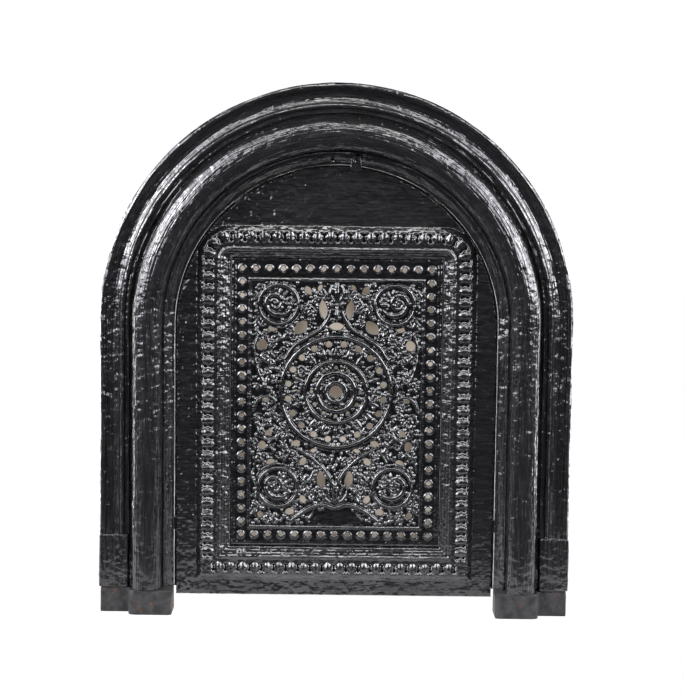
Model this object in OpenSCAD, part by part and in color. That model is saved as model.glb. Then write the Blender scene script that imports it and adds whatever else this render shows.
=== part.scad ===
// Arched cast-iron fireplace surround with its summer cover.
// The front faces -Y, Z is up, and the feet stand on Z = 0.
// A section is drawn as points [s, d]: s runs inward from the outer edge of the leg and
// d forward from the wall plane.

/* [Surround] */
// Width over the outer edges of the legs
surround_w = 672; // [620:4:740]
// Height of the outer springing line above the hearth
spring_h = 420; // [380:5:480]
// Thickness of the cast walls
wall = 6; // [5:0.5:7]
// Radius of the roll along the outer rim
rim_r = 5; // [4:0.5:6]
// Forward reach of the rim roll
rim_d = 20; // [18:0.5:22]
// Width of the hollow band beside the rim
cove_w = 20; // [16:1:24]
// Depth of the hollow band below its two edges
cove_sink = 4; // [2:0.5:5]
// Radius of the ridge roll that ends the hollow band
ridge_r = 3.5; // [2.5:0.5:4]
// Forward reach of the ridge roll
ridge_d = 25; // [23:0.5:27]
// Width of the flat fillet beside the ridge
fillet_w = 6; // [4:1:9]
// Width of the sunk line beside the great roll
quirk_w = 5.4; // [3:0.2:8]
// Forward reach of the floor of the sunk lines
quirk_d = 15; // [14:0.5:17]
// Width of the great roll
roll_w = 42; // [38:1:48]
// Forward reach of the great roll
roll_d = 45; // [40:1:50]
// Radius of the shoulders of the great roll
shoulder_r = 12; // [10:1:14]
// Radius of the crown of the great roll
crown_r = 30; // [27:1:36]
// Radius of the bead at the inner foot of the great roll
bead_r = 2.2; // [1.8:0.2:2.6]
// Width of the toe moulding from the great roll to the opening
toe_w = 16; // [15:1:22]
// Forward reach of the toe at the opening
toe_d = 8.5; // [7.5:0.5:10]
// How far the arch of the great roll springs below the outer arch
roll_drop = 5; // [0:1:6]
// How far the arch of the toe springs below the outer arch
toe_drop = 9; // [0:1:9]

/* [Feet and plinths] */
// Height of the bare feet
foot_h = 36; // [30:1:44]
// How far a foot is set in from the leg above it
foot_inset = 2; // [1:0.5:4]
// Forward reach of the foot under the great roll
foot_d = 43; // [38:1:45]
// Radius of the rounded front corners of a foot
foot_corner = 8; // [5:1:10]
// Height of the plain plinth block
plinth_h = 77; // [60:1:90]
// Forward reach of the plinth block
plinth_d = 26; // [25.5:0.5:29]
// Radius of the rounded edges of a plinth block
plinth_round = 2; // [1:0.5:3]

/* [Cover] */
// Clearance between the cover and the opening round it
cover_gap = 3; // [2.5:0.25:4]
// Height of the bottom edge of the cover above the hearth
finger_gap = 23; // [18:1:30]
// Thickness of the cover plate
plate_t = 6; // [5:0.5:7]
// Clearance between the cover and what it rests against
seat_gap = 0.3; // [0.2:0.05:0.6]
// Half width of the raised border
border_half = 199; // [192:1:204]
// Height of the border above the face of the plate
border_rise = 5; // [4:0.5:6]
// Slope on the outer edge of the border
border_slope = 6; // [4:0.5:8]
// Height of the bottom edge of the border above the hearth
border_bottom = 46; // [40:1:52]
// Height of the top edge of the border above the hearth
border_top = 555; // [545:1:565]
// Radius of the two rounded upper corners of the border
border_corner = 48; // [48:1:60]
// Distance from the edge of the border to the middle of its slots
slot_inset = 16.5; // [14:0.5:18]
// Distance from one border slot to the next along the sides
slot_pitch = 16.6; // [14:0.2:24]
// Radius of the two round ends of a slot
slot_r = 2.7; // [2:0.1:3.2]
// Distance between the two round ends of a slot
slot_reach = 8.6; // [6:0.2:10]
// Width of the thin raised line inside the slots
line_w = 4.5; // [3:0.5:6]
// Height of the thin raised line above the border
line_rise = 1.6; // [1:0.2:2.5]

/* [Grille] */
// Half width of the window for the grille
window_half = 151; // [146:1:154]
// Height of the bottom of the window above the hearth
window_bottom = 94; // [90:1:98]
// Height of the top of the window above the hearth
window_top = 510; // [505:1:516]
// Width of the sloping moulding that sinks to the window
recess_w = 12; // [10:0.5:12]
// Clearance between the grille and its window
grille_gap = 0.4; // [0.2:0.1:0.8]
// Thickness of the grille behind the window
grille_t = 4; // [3:0.5:5]
// Distance from the edge of the grille to the middle of its row of holes
eyelet_inset = 16; // [14:0.5:18]
// Distance from one eyelet to the next
eyelet_pitch = 18.6; // [16:0.2:24]
// Radius of the hole in an eyelet
eyelet_r = 3.4; // [2.5:0.1:4]
// Half width of the pierced field
field_half = 121; // [118:1:123]
// Half height of the pierced field
field_half_h = 176; // [172:1:178]
// Width of the raised frame round the pierced field
frame_line = 4.5; // [3:0.5:6]
// Radius of the great ring of the fret
ring_r = 80; // [72:1:84]
// Height of the centre of the great ring above the middle of the field
ring_up = 18; // [10:1:24]
// Outer radius of a corner coil
coil_r = 29; // [24:1:32]
// Width of the scroll bands
band_w = 5; // [4:0.5:6]
// Forward reach of the fret above its web
relief = 2.4; // [1.5:0.1:3]

/* [Fixings] */
// Height of the hanging pins below the top edge of the cover
hang_drop = 45; // [42:1:60]
// Radius of a hanging pin
pin_r = 3; // [2.5:0.25:4]
// Clearance between a hanging pin and its hook
hook_gap = 0.25; // [0.15:0.05:0.5]
// Wall of a hanging hook round its pin
hook_wall = 2.7; // [2.5:0.1:3.5]
// Thickness of a hanging hook
hook_t = 8; // [6:0.5:10]
// Thickness of the brackets and rest bars
bar_t = 5; // [4:0.5:6]
// Width of the brackets and rest bars
bar_w = 18; // [15:1:22]
// Radius of the fixing screws
screw_r = 3; // [2.5:0.25:3.5]
// Radius of the bolt that holds a foot
foot_bolt_r = 4; // [3:0.25:5]
// Radius of the tapped fixing holes in the back of the surround
fixing_r = 4.2; // [3:0.1:5]
// Depth of the tapped fixing holes
fixing_depth = 9; // [6:0.5:10]
// Thickness of the turning catch
catch_t = 3.5; // [3:0.5:5]
// Reach of the nose of the catch from its pivot
catch_reach = 14.5; // [13:0.5:15]
// Distance of the catch to the right of the centre line
catch_x = 25; // [15:1:40]

/* [Hidden] */

eps = 0.01;
fit = 0.3;
flank_wall = wall + 1;
outer_r = surround_w / 2;
cove_s = 2 * rim_r - 0.6;
ridge_s = cove_s + cove_w + ridge_r;
fillet_s = ridge_s + ridge_r;
fillet_d = ridge_d - ridge_r - 0.5;
quirk_s = fillet_s + fillet_w;
roll_s = quirk_s + quirk_w;
roll_end = roll_s + roll_w;
opening_s = roll_end + toe_w;
opening_half = outer_r - opening_s;
web_d = quirk_d - wall;
roll_z = spring_h - roll_drop;
toe_z = spring_h - toe_drop;
plinth_top = foot_h + plinth_h;
plinth_seat = 10;

plate_back = seat_gap;
plate_front = plate_back + plate_t;
border_d = plate_front + border_rise;
cover_half = opening_half - cover_gap;
cover_top = toe_z + cover_half;
pin_z = cover_top - hang_drop;
hook_r = pin_r + hook_gap + hook_wall;
pin_d = -(hook_r + fit);
hook_base = 3;
hook_foot = 32;
hook_rivet_r = 2.2;
head_r = 2 * screw_r;
head_h = 4;
back_reach = max(hook_r - pin_d, bar_t + head_h + 0.5);
wall_y = (roll_d - back_reach) / 2;

pad_s = roll_s + roll_w / 2;
pad_r = outer_r - pad_s;
pad_plug = 16;
pad_reach = 26;
screw_len = 16;
pin_half = sqrt(pow(opening_half, 2) - pow(pin_z - toe_z, 2));
pad_angle = atan2(pin_z - roll_z, pin_half) + 1;
pad_x = pad_r * cos(pad_angle);
pad_z = roll_z + pad_r * sin(pad_angle);
ear_t = 6;
ear_x = pin_half + 2;
hook_x = ear_x - ear_t - 2 - hook_t;
hook_rivet_x = hook_x - 2 * hook_rivet_r - 0.6;
rest_z = foot_h + plinth_h + 12;
fixing_s = (cove_s + ridge_s) / 2;
fixing_low = 160;
fixing_high = 400;
fixing_boss_r = 9;

plinth_skin = 5;
foot_mid = 18;
foot_sink_r = 9;
foot_sink = 7;
nut_side = 13;
nut_t = 6;
bolt_head_r = 7.5;
bolt_head_t = 5.6;

catch_pad_r = 6;
catch_seat = quirk_d + 0.5;
catch_z = toe_z + sqrt(pow(opening_half + catch_pad_r + 1, 2) - pow(catch_x, 2));
catch_back = catch_seat + fit;
catch_body_r = 7;
catch_nose_r = 8;
catch_bore_gap = 0.15;
rivet_r = 2.5;
hold_pad_r = 4.5;
hold_pad_drop = 8;
hold_gap = 0.6;
stop_r = 1.6;
stop_head_r = 2.6;
stop_d = toe_d + 4.6;
stop_x = -catch_x / 3;
stop_z = toe_z + sqrt(pow(opening_half + 5, 2) - pow(stop_x, 2));

window_mid = (window_bottom + window_top) / 2;
window_half_h = (window_top - window_bottom) / 2;
recess_d = plate_front - 1.5;
grille_half = window_half - grille_gap;
grille_half_h = window_half_h - grille_gap;
grille_front = recess_d - 1;
field_z = window_mid - 2;
web_front = grille_front - 1.4;
web_back = plate_back - grille_t;
grille_screw_r = screw_r - 0.5;
tab_r = 8;
ring_in = 2 * slot_inset - 2;
recess_in = ring_in + line_w;

// Points of an arc from angle a0 to a1, in n steps.
function arc(c, r, a0, a1, n) =
    [for (i = [0:n]) let (a = a0 + (a1 - a0) * i / n) [c[0] + r * cos(a), c[1] + r * sin(a)]];

// The front of the great roll: two shoulders that run into a flatter crown.
blend_a = asin((roll_w / 2 - shoulder_r) / (crown_r - shoulder_r));
shoulder_up = (crown_r - shoulder_r) * cos(blend_a);
crown_c = roll_d - crown_r;
function roll_front(s0, in, n) =
    let (c = s0 + roll_w / 2, dx = roll_w / 2 - shoulder_r, up = crown_c + shoulder_up)
    concat(
        arc([c - dx, up], shoulder_r - in, 180, 90 + blend_a, n),
        arc([c, crown_c], crown_r - in, 90 + blend_a, 90 - blend_a, n),
        arc([c + dx, up], shoulder_r - in, 90 - blend_a, 0, n));

// Outer band: rim roll, hollow, ridge, fillet and the floor of the first sunk line.
function band_section() = concat(
    [[0.3, 0]],
    arc([rim_r, rim_d - rim_r], rim_r, 180, 30, 10),
    [for (i = [1:9]) let (t = i / 10)
        [cove_s + cove_w * t, rim_d - 3 - cove_sink * sin(180 * t) + 0.5 * t]],
    arc([ridge_s, ridge_d - ridge_r], ridge_r, 200, 0, 12),
    [[fillet_s + 0.4, fillet_d], [quirk_s, fillet_d], [quirk_s + 0.6, quirk_d],
     [roll_s + flank_wall, quirk_d], [roll_s + flank_wall, web_d],
     [quirk_s, web_d], [quirk_s, 0], [quirk_s - wall, 0], [quirk_s - wall, fillet_d - wall],
     [ridge_s - 1, fillet_d - wall], [cove_s + cove_w - 2, rim_d - cove_sink - 3 - wall],
     [rim_r + 2, rim_d - cove_sink - 3 - wall], [wall, 6], [wall, 0]]);

// Great roll, open at the back, with the bead at its inner foot.
function roll_section() = concat(
    [[roll_s + 0.4, 0]],
    roll_front(roll_s, 0, 8),
    [[roll_end - 0.4, quirk_d + bead_r + 1]],
    arc([roll_end + 1.4, quirk_d], bead_r, 140, -20, 8),
    [[roll_end + 1.6, web_d], [roll_end - 0.4, web_d], [roll_end - 0.4, 0],
     [roll_end - flank_wall, 0]],
    [for (p = roll_front(roll_s, wall, 5)) [2 * pad_s - p[0] - (flank_wall - wall) * sign(pad_s - p[0]), p[1]]],
    [[roll_s + flank_wall, 0]]);

// Toe: a flat that runs out from under the great roll and an ogee down to the opening.
function toe_section() = let (s0 = roll_end + 2, s1 = opening_s - 1)
    concat(
    [[roll_end - flank_wall + 1, web_d], [roll_end - flank_wall + 1, quirk_d]],
    [for (i = [0:10]) let (t = i / 10)
        [s0 + (s1 - s0) * t, toe_d + (quirk_d - toe_d) * (1 + cos(180 * t)) / 2]],
    [[opening_s, toe_d - 1], [opening_s, 0], [opening_s - wall - 1, 0],
     [opening_s - wall - 1, toe_d - wall], [roll_end + 3, web_d]]);

// The foot of the lower leg, where a plinth block covers the outer band.
function plinth_seat_section() = [
    [0.3, 0], [0.3, plinth_seat], [roll_s + flank_wall, plinth_seat],
    [roll_s + flank_wall, 4], [quirk_s, 4], [quirk_s, 0], [quirk_s - wall, 0],
    [quirk_s - wall, 4], [wall, 4], [wall, 0]];

// Moves a piece that is drawn forward from the wall plane into place.
module on_wall() {
    translate([0, wall_y, 0]) children();
}

// Draws its 2D child, in x and z, as a slab from d0 to d1.
module slab(d0, d1) {
    translate([0, -d0, 0]) rotate([90, 0, 0]) linear_extrude(d1 - d0) children();
}

// A round rod along d.
module rod(x, z, r, d0, d1, fn = 48) {
    translate([x, -d0, z]) rotate([90, 0, 0]) cylinder(r = r, h = d1 - d0, $fn = fn);
}

// A leg and half an arch of one section: the arch springs at height z.
module arch(z) {
    translate([0, 0, z]) rotate([90, 0, 0]) rotate_extrude(angle = 180, $fn = 180)
        children();
}

module both_sides() {
    children();
    mirror([1, 0, 0]) children();
}

// A section in [s, d] as a polygon in [x, d], and as one in [x, y].
module radial(section) {
    polygon([for (p = section) [outer_r - p[0], p[1]]]);
}

module upright(section, z0, z1) {
    translate([0, 0, z0]) linear_extrude(z1 - z0)
        polygon([for (p = section) [outer_r - p[0], -p[1]]]);
}

module moulding(section, z_spring, z_base) {
    arch(z_spring) radial(section);
    both_sides() upright(section, z_base, z_spring);
}

// A screw whose head sits against d0 from behind and whose end is at d1.
module screw(x, z, r, d0, d1, head, h) {
    rod(x, z, r, d0, d1);
    rod(x, z, head, d0 - h, d0);
}

module surround_frame() {
    color("#1b1b1e") on_wall() difference() {
        union() {
            moulding(band_section(), spring_h, plinth_top);
            moulding(roll_section(), roll_z, foot_h);
            moulding(toe_section(), toe_z, foot_h);
            both_sides() {
                upright(plinth_seat_section(), foot_h, plinth_top + eps);
                foot_shelf();
                rod(pad_x, pad_z, pad_plug, 0, pad_reach);
                rod(pad_r, rest_z, pad_plug, 0, pad_reach);
                for (z = [fixing_low, fixing_high])
                    rod(outer_r - fixing_s, z, fixing_boss_r, 0, rim_d - cove_sink - 5);
            }
            rod(catch_x, catch_z, catch_pad_r, web_d - 1, catch_seat);
        }
        both_sides() {
            rod(pad_x, pad_z, screw_r, -1, screw_len);
            rod(pad_r, rest_z, screw_r, -1, screw_len);
            for (z = [fixing_low, fixing_high])
                rod(outer_r - fixing_s, z, fixing_r, -1, fixing_depth);
            for (z = plinth_screw_zs())
                rod(outer_r - quirk_s / 2, z, screw_r, -1, plinth_seat + 1);
            translate([pad_r, -foot_mid, foot_h - 1])
                cylinder(r = foot_bolt_r + fit, h = wall + 2, $fn = 48);
        }
        rod(catch_x, catch_z, rivet_r, web_d - 2, catch_seat + 1);
        rod(stop_x, stop_z, stop_r + 0.05, -1, quirk_d);
    }
}

function plinth_screw_zs() = [foot_h + 18, plinth_top - 16];

// The shelf that closes the bottom of a leg, on which the nut of the foot bolt sits.
module foot_shelf() {
    translate([outer_r - roll_end + 1, -roll_d + wall + 4, foot_h])
        cube([roll_w - 2, roll_d - wall - 4, wall]);
}

// Plan of a plinth block in [s, d], with its front edges rounded.
function plinth_section() = let (r = plinth_round, s1 = quirk_s - fit)
    concat(
    [[0, plinth_seat]],
    arc([r, plinth_d - r], r, 180, 90, 5),
    arc([s1 - r, plinth_d - r], r, 90, 0, 5),
    [[s1, plinth_seat]]);

module plinth_block() {
    difference() {
        upright(plinth_section(), foot_h + fit, plinth_top - fit);
        for (z = plinth_screw_zs())
            rod(outer_r - quirk_s / 2, z, screw_r, plinth_seat - 1, plinth_d - plinth_skin);
    }
}

module left_plinth_block() {
    color("#1d1d20") on_wall() mirror([1, 0, 0]) plinth_block();
}

module right_plinth_block() {
    color("#1d1d20") on_wall() plinth_block();
}

module plinth_screws() {
    color("#55514c") on_wall() both_sides() for (z = plinth_screw_zs())
        screw(outer_r - quirk_s / 2, z, screw_r, 4, plinth_d - plinth_skin - 1, head_r, 3.5);
}

// Plan of a foot in [s, d]: a flat outer part and a bold part under the great roll.
function foot_section() = let (a = quirk_s + 1, b = opening_s - 0.5)
    concat(
    [[foot_inset, 0], [foot_inset, plinth_d - foot_inset], [a, plinth_d - foot_inset]],
    arc([a + foot_corner, foot_d - foot_corner], foot_corner, 180, 90, 6),
    arc([b - foot_corner / 2, foot_d - foot_corner / 2], foot_corner / 2, 90, 0, 5),
    [[b, 0]]);

module foot() {
    difference() {
        upright(foot_section(), 0, foot_h - fit);
        translate([outer_r - quirk_s + 4, -plinth_d + foot_inset + 8, 7])
            cube([quirk_s - 12, 40, foot_h]);
        translate([pad_r, -foot_mid, -1])
            cylinder(r = foot_bolt_r + fit, h = foot_h + 2, $fn = 48);
        translate([pad_r, -foot_mid, -1])
            cylinder(r = foot_sink_r, h = foot_sink + 1, $fn = 48);
    }
}

module left_foot() {
    color("#4a4a4c") on_wall() mirror([1, 0, 0]) foot();
}

module right_foot() {
    color("#4a4a4c") on_wall() foot();
}

module foot_bolts() {
    color("#5a5550") on_wall() both_sides() translate([pad_r, -foot_mid, 0]) {
        translate([0, 0, foot_sink - bolt_head_t])
            cylinder(r = bolt_head_r, h = bolt_head_t, $fn = 6);
        translate([0, 0, foot_sink - eps])
            cylinder(r = foot_bolt_r, h = foot_h + wall + nut_t + 2 - foot_sink, $fn = 48);
    }
}

module foot_nuts() {
    color("#5a5550") on_wall() both_sides() translate([pad_r, -foot_mid, foot_h + wall])
        difference() {
            translate([-nut_side / 2, -nut_side / 2, 0]) cube([nut_side, nut_side, nut_t]);
            translate([0, 0, -1]) cylinder(r = foot_bolt_r, h = nut_t + 2, $fn = 48);
        }
}

// Round-headed pin in the toe that stops the catch on its left.
module stop_pin() {
    color("#26262a") on_wall() {
        rod(stop_x, stop_z, stop_r, 2.2, stop_d);
        translate([stop_x, -stop_d, stop_z]) sphere(r = stop_head_r, $fn = 40);
    }
}

module catch_rivet() {
    color("#2a2a2d") on_wall() {
        rod(catch_x, catch_z, rivet_r, web_d - 2, catch_back + catch_t + fit);
        rod(catch_x, catch_z, 4.4, catch_back + catch_t + fit, catch_back + catch_t + 2.2);
    }
}

module crown_catch() {
    color("#26262a") on_wall() difference() {
        slab(catch_back, catch_back + catch_t) union() {
            translate([catch_x, catch_z]) circle(r = catch_body_r, $fn = 60);
            translate([catch_x, catch_z - catch_reach + catch_nose_r])
                circle(r = catch_nose_r, $fn = 60);
        }
        rod(catch_x, catch_z, rivet_r + catch_bore_gap, catch_back - 1, catch_back + catch_t + 1);
    }
}

// Bracket on the back of the surround, with the ear that carries a hanging pin.
module pin_bracket() {
    difference() {
        union() {
            slab(-bar_t, 0) union() {
                translate([pad_x, pad_z]) circle(r = bar_w / 2, $fn = 60);
                translate([pad_x, pad_z]) rotate(bracket_turn()) translate([0, -bar_w / 2])
                    square([bracket_len(), bar_w]);
            }
            translate([ear_x - ear_t, 0, pin_z]) rotate([90, 0, 90]) linear_extrude(ear_t)
                union() {
                    translate([-pin_d, 0]) circle(r = hook_r, $fn = 60);
                    translate([fit, -hook_r]) square([-pin_d - fit, 2 * hook_r]);
                }
            translate([ear_x - ear_t, fit, pin_z - hook_r])
                cube([ear_t + 12, bar_t - fit, 2 * hook_r]);
        }
        rod(pad_x, pad_z, screw_r + fit, -bar_t - 1, 1);
        translate([ear_x - ear_t - 1, -pin_d, pin_z]) rotate([0, 90, 0])
            cylinder(r = pin_r, h = ear_t + 2, $fn = 48);
    }
}

function bracket_turn() = atan2(pin_z - pad_z, ear_x + 2 - pad_x);
function bracket_len() = norm([pin_z - pad_z, ear_x + 2 - pad_x]);

module left_pin_bracket() {
    color("#4a4642") on_wall() mirror([1, 0, 0]) pin_bracket();
}

module right_pin_bracket() {
    color("#4a4642") on_wall() pin_bracket();
}

// Plain pin that is driven through the ear and carries the hook of the cover.
module hanging_pin() {
    translate([hook_x - 3, -pin_d, pin_z]) rotate([0, 90, 0])
        cylinder(r = pin_r, h = ear_x - hook_x + 3.5, $fn = 48);
}

module left_hanging_pin() {
    color("#6b6862") on_wall() mirror([1, 0, 0]) hanging_pin();
}

module right_hanging_pin() {
    color("#6b6862") on_wall() hanging_pin();
}

module bracket_screws() {
    color("#6b6862") on_wall() both_sides()
        screw(pad_x, pad_z, screw_r, -bar_t, screw_len - 1, head_r, head_h);
}

// Bar on the back of a leg, against which the lower part of the cover rests.
module rest_bar() {
    x0 = cover_half - 16;
    difference() {
        slab(-bar_t, 0) union() {
            translate([x0, rest_z - bar_w / 2]) square([pad_r - x0, bar_w]);
            translate([x0, rest_z]) circle(r = bar_w / 2, $fn = 60);
            translate([pad_r, rest_z]) circle(r = bar_w / 2, $fn = 60);
        }
        rod(pad_r, rest_z, screw_r + fit, -bar_t - 1, 1);
    }
}

module left_rest_bar() {
    color("#4a4642") on_wall() mirror([1, 0, 0]) rest_bar();
}

module right_rest_bar() {
    color("#4a4642") on_wall() rest_bar();
}

module rest_screws() {
    color("#6b6862") on_wall() both_sides()
        screw(pad_r, rest_z, screw_r, -bar_t, screw_len - 1, head_r, head_h);
}

// Border outline with rounded upper and square lower corners, taken in by g.
module border_outline(g) {
    w = border_half - g;
    r = border_corner - g;
    c = border_half - border_corner;
    translate([-w, border_bottom + g]) square([2 * w, border_top - border_bottom - g - border_corner]);
    translate([-c, border_bottom + g]) square([2 * c, border_top - border_bottom - 2 * g]);
    for (x = [-c, c]) translate([x, border_top - border_corner]) circle(r = r, $fn = 96);
}

module cover_outline() {
    union() {
        translate([-cover_half, finger_gap]) square([2 * cover_half, toe_z - finger_gap]);
        intersection() {
            translate([0, toe_z]) circle(r = cover_half, $fn = 180);
            translate([-cover_half - 1, toe_z - 1]) square([2 * cover_half + 2, cover_half + 2]);
        }
    }
}

// One slot of the border: two round holes joined by a narrow neck, lying along x.
module slot(d0, d1) {
    for (x = [-1, 1]) rod(x * slot_reach / 2, 0, slot_r, d0, d1, 24);
    translate([-slot_reach / 2, -d1, -slot_r / 2]) cube([slot_reach, d1 - d0, slot_r]);
}

// Every slot of the border as [x, z, turn].
function slot_places() =
    let (
        w = border_half - slot_inset,
        z0 = border_bottom + slot_inset,
        z1 = border_top - slot_inset,
        r = border_corner - slot_inset,
        n_side = floor((z1 - r - z0 - slot_pitch) / slot_pitch),
        n_row = floor((2 * w - 2 * r) / slot_pitch / 1.09),
        n_foot = floor((2 * w - slot_pitch) / slot_pitch)
    )
    concat(
        [for (side = [-1, 1], i = [0:n_side])
            [side * w, z0 + slot_pitch + (z1 - r - z0 - slot_pitch) * i / n_side, 0]],
        [for (i = [0:n_row]) [(i / n_row - 0.5) * 2 * (w - r), z1, 90]],
        [for (i = [0:n_foot]) [(i / n_foot - 0.5) * (2 * w - slot_pitch), z0, 90]],
        [for (side = [-1, 1], a = [30, 60])
            [side * (w - r + r * cos(a)), z1 - r + r * sin(a), side * a]]);

// The border's outline taken in by g0 at d0 and by g1 at d1: its sides slope, its foot is
// mitred and its two upper corners are cones.
module sloped_panel(g0, g1, d0, d1) {
    r0 = border_corner - g0;
    cx = border_half - border_corner;
    cz = border_top - border_corner;
    foot = min(border_bottom + g0, border_bottom + g1) - 1;
    side = max(border_half - g0, border_half - g1) + 1;
    intersection() {
        translate([0, 0, foot]) linear_extrude(cz - foot) polygon([
            [g0 - border_half, -d0], [border_half - g0, -d0],
            [border_half - g1, -d1], [g1 - border_half, -d1]]);
        rail(side, [[-d0, border_bottom + g0], [-d1, border_bottom + g1], [-d1, cz + 1],
            [-d0, cz + 1]]);
    }
    rail(cx, [[-d0, border_bottom + g0], [-d1, border_bottom + g1], [-d1, border_top - g1],
        [-d0, border_top - g0]]);
    for (x = [-cx, cx]) translate([x, -d0, cz]) rotate([90, 0, 0])
        cylinder(r1 = r0, r2 = r0 + g0 - g1, h = d1 - d0, $fn = 96);
}

// A bar of one section in [y, z] from -half to half along x.
module rail(half, section) {
    translate([-half, 0, 0]) rotate([90, 0, 90]) linear_extrude(2 * half) polygon(section);
}

module cover_plate() {
    color("#1c1c20") on_wall() difference() {
        union() {
            slab(plate_back, plate_front) cover_outline();
            sloped_panel(-border_slope / border_rise, border_slope, plate_front - 1, border_d);
            slab(border_d - 1, border_d + line_rise) difference() {
                border_outline(ring_in);
                border_outline(recess_in);
            }
            rod(catch_x, cover_top - hold_pad_drop, hold_pad_r, plate_front - 1,
                catch_back - hold_gap);
        }
        sloped_panel(recess_in + recess_w, recess_in, recess_d, border_d);
        slab(border_d, border_d + line_rise + 1) border_outline(recess_in);
        slab(plate_back - 1, border_d) translate([-window_half, window_bottom])
            square([2 * window_half, window_top - window_bottom]);
        for (p = slot_places())
            translate([p[0], 0, p[1]]) rotate([0, -p[2], 0]) slot(plate_back - 1, border_d + 1);
        for (p = grille_screw_places())
            rod(p[0], p[1], grille_screw_r, plate_back - 1, recess_d - 1);
    }
}

function grille_screw_places() = let (w = window_half + 12, h = window_half_h + 12)
    concat(
        [for (x = [-1, 1], z = [-0.72, 0, 0.72]) [x * w, window_mid + z * window_half_h]],
        [for (x = [-0.55, 0.55], z = [-1, 1]) [x * window_half, window_mid + z * h]]);

// Points of a band that coils in from radius r0 to r1 while it turns from a0 to a1.
function coil(c, r0, r1, a0, a1, w0, w1, n) = concat(
    coil_edge(c, r0 + w0 / 2, r1 + w1 / 2, a0, a1, n),
    coil_edge(c, r1 - w1 / 2, r0 - w0 / 2, a1, a0, n));

function coil_edge(c, r0, r1, a0, a1, n) =
    [for (i = [0:n]) let (t = i / n, a = a0 + (a1 - a0) * t, r = r0 + (r1 - r0) * t)
        [c[0] + r * cos(a), c[1] + r * sin(a)]];

// A pointed eye of length l along its own y axis, bounded by two arcs.
module eye(p, l, w, turn) {
    r = (l * l + w * w) / (4 * w);
    translate(p) rotate(turn) intersection() {
        translate([r - w / 2, 0]) circle(r = r, $fn = 90);
        translate([w / 2 - r, 0]) circle(r = r, $fn = 90);
    }
}

// A round-topped ring on the face of the fret.
module raised_ring(r, w, d) {
    translate([0, -d, 0]) rotate([90, 0, 0]) rotate_extrude($fn = 90)
        translate([r, 0]) intersection() {
            circle(r = w / 2, $fn = 32);
            translate([-w, -0.5]) square([2 * w, w]);
        }
}

// A bead on the face of the fret.
module bead(p, r) {
    translate([p[0], -web_front, p[1]]) sphere(r = r, $fn = 32);
}

coil_top = [field_half - coil_r - 9, field_half_h - coil_r - 4];
coil_low = [field_half - coil_r - 10, coil_r + 27 - field_half_h];
rosette = [0, ring_up];
petals = 20;
petal_r = ring_r * 0.7;
light_r = 4.4;
light_at = ring_r - light_r - 6.6;

// Gaps of the right half that are pointed eyes, as [x, z, length, width, turn].
half_gaps = [[19, 136, 28, 11, -8], [51, 110, 24, 15, 42], [91, 109, 13, 10, 70],
    [106, 85, 16, 13, 20], [41, 163, 13, 9, -30], [24, 167, 10, 6, 30],
    [20, -109, 26, 11, -8], [57, -57, 14, 9, 60], [31, -67, 11, 6, 75],
    [105, -60, 13, 11, 0], [46, -83, 13, 9, 30], [93, -84, 13, 8, 64],
    [46, -138, 13, 9, -20], [65, -156, 13, 10, 70], [107, -161, 11, 8, 0],
    [101, 8, 12, 9, 0], [96, -42, 11, 8, 50]];

module gaps_half() {
    for (g = half_gaps) eye([g[0], g[1]], g[2], g[3], g[4]);
}

module fret_gaps() {
    gaps_half();
    mirror([1, 0]) gaps_half();
    eye([0, 112], 22, 11, 90);
    translate(rosette) {
        circle(r = 9, $fn = 48);
        for (i = [0:petals - 1]) rotate((i + 0.5) * 360 / petals)
            translate([0, light_at]) circle(r = light_r, $fn = 32);
        for (i = [0:11]) rotate(i * 30) translate([35, 0]) circle(r = 2.6, $fn = 32);
    }
}

// Scroll bands and leaves of the right half that stand on the web.
module scrolls_half() {
    polygon(coil([60, 150], 52, 52, 178, 257, band_w, band_w, 12));
    polygon(coil(rosette, 95, 98, 62, 16, band_w, band_w, 10));
    polygon(coil([60, -130], 58, 56, 106, 168, band_w, band_w, 10));
    polygon(coil(coil_low, coil_r + 12, coil_r + 2, 175, 60, 4, 4, 14));
    polygon(coil(coil_top, coil_r + 3, coil_r - 1, 170, 330, 4, 5, 14));
    polygon(coil([100, 38], 14, 4, -110, 230, 4, 3, 22));
    polygon(coil([101, -18], 13, 4, 120, -220, 4, 3, 22));
    for (c = [coil_top, coil_low]) {
        polygon(coil(c, coil_r - 2, coil_r - 2, 0, 179.5, 4, 4, 24));
        polygon(coil(c, coil_r - 2, coil_r - 2, 180, 359.5, 4, 4, 24));
        polygon(coil(c + [10, 3], 10, 3.2, -50, 350, 3.4, 2.6, 30));
        polygon(coil(c, coil_r - 10.5, coil_r - 9.5, 200, 330, 3, 6.5, 16));
        for (a = [100:36:208]) eye(c + [-3, 3] + 9 * [cos(a), sin(a)], 14, 5, a - 90);
    }
    for (a = [-60:30:60]) eye([44, 142] + 9 * [sin(a), cos(a)], 15, 6, -a);
    for (a = [-50:25:50]) eye([26, -134] + 9 * [sin(a), cos(a)], 16, 5, -a);
    for (a = [-40:40:40]) eye([100, -120] + 24 * [sin(a), -cos(a)], 12, 6, a);
    eye([9, 160], 26, 8, -14);
    eye([66, 74], 20, 8, 60);
    eye([70, -66], 20, 8, -60);
}

module fret_scrolls() {
    scrolls_half();
    mirror([1, 0]) scrolls_half();
    eye([0, 150], 34, 7, 0);
    eye([0, -122], 30, 8, 0);
    polygon(coil([0, -209], 66, 66, 34, 146, 4, 4, 18));
    for (i = [0:petals - 1])
        translate(rosette) rotate(i * 360 / petals) eye([0, petal_r], 15, 6.5, 0);
}

// A thin collar round each round light of the rosette.
module light_collars() {
    for (i = [0:petals - 1])
        translate(rosette) rotate((i + 0.5) * 360 / petals) translate([0, light_at])
            difference() {
                circle(r = light_r + 2.2, $fn = 32);
                circle(r = light_r + 0.3, $fn = 32);
            }
}

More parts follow.
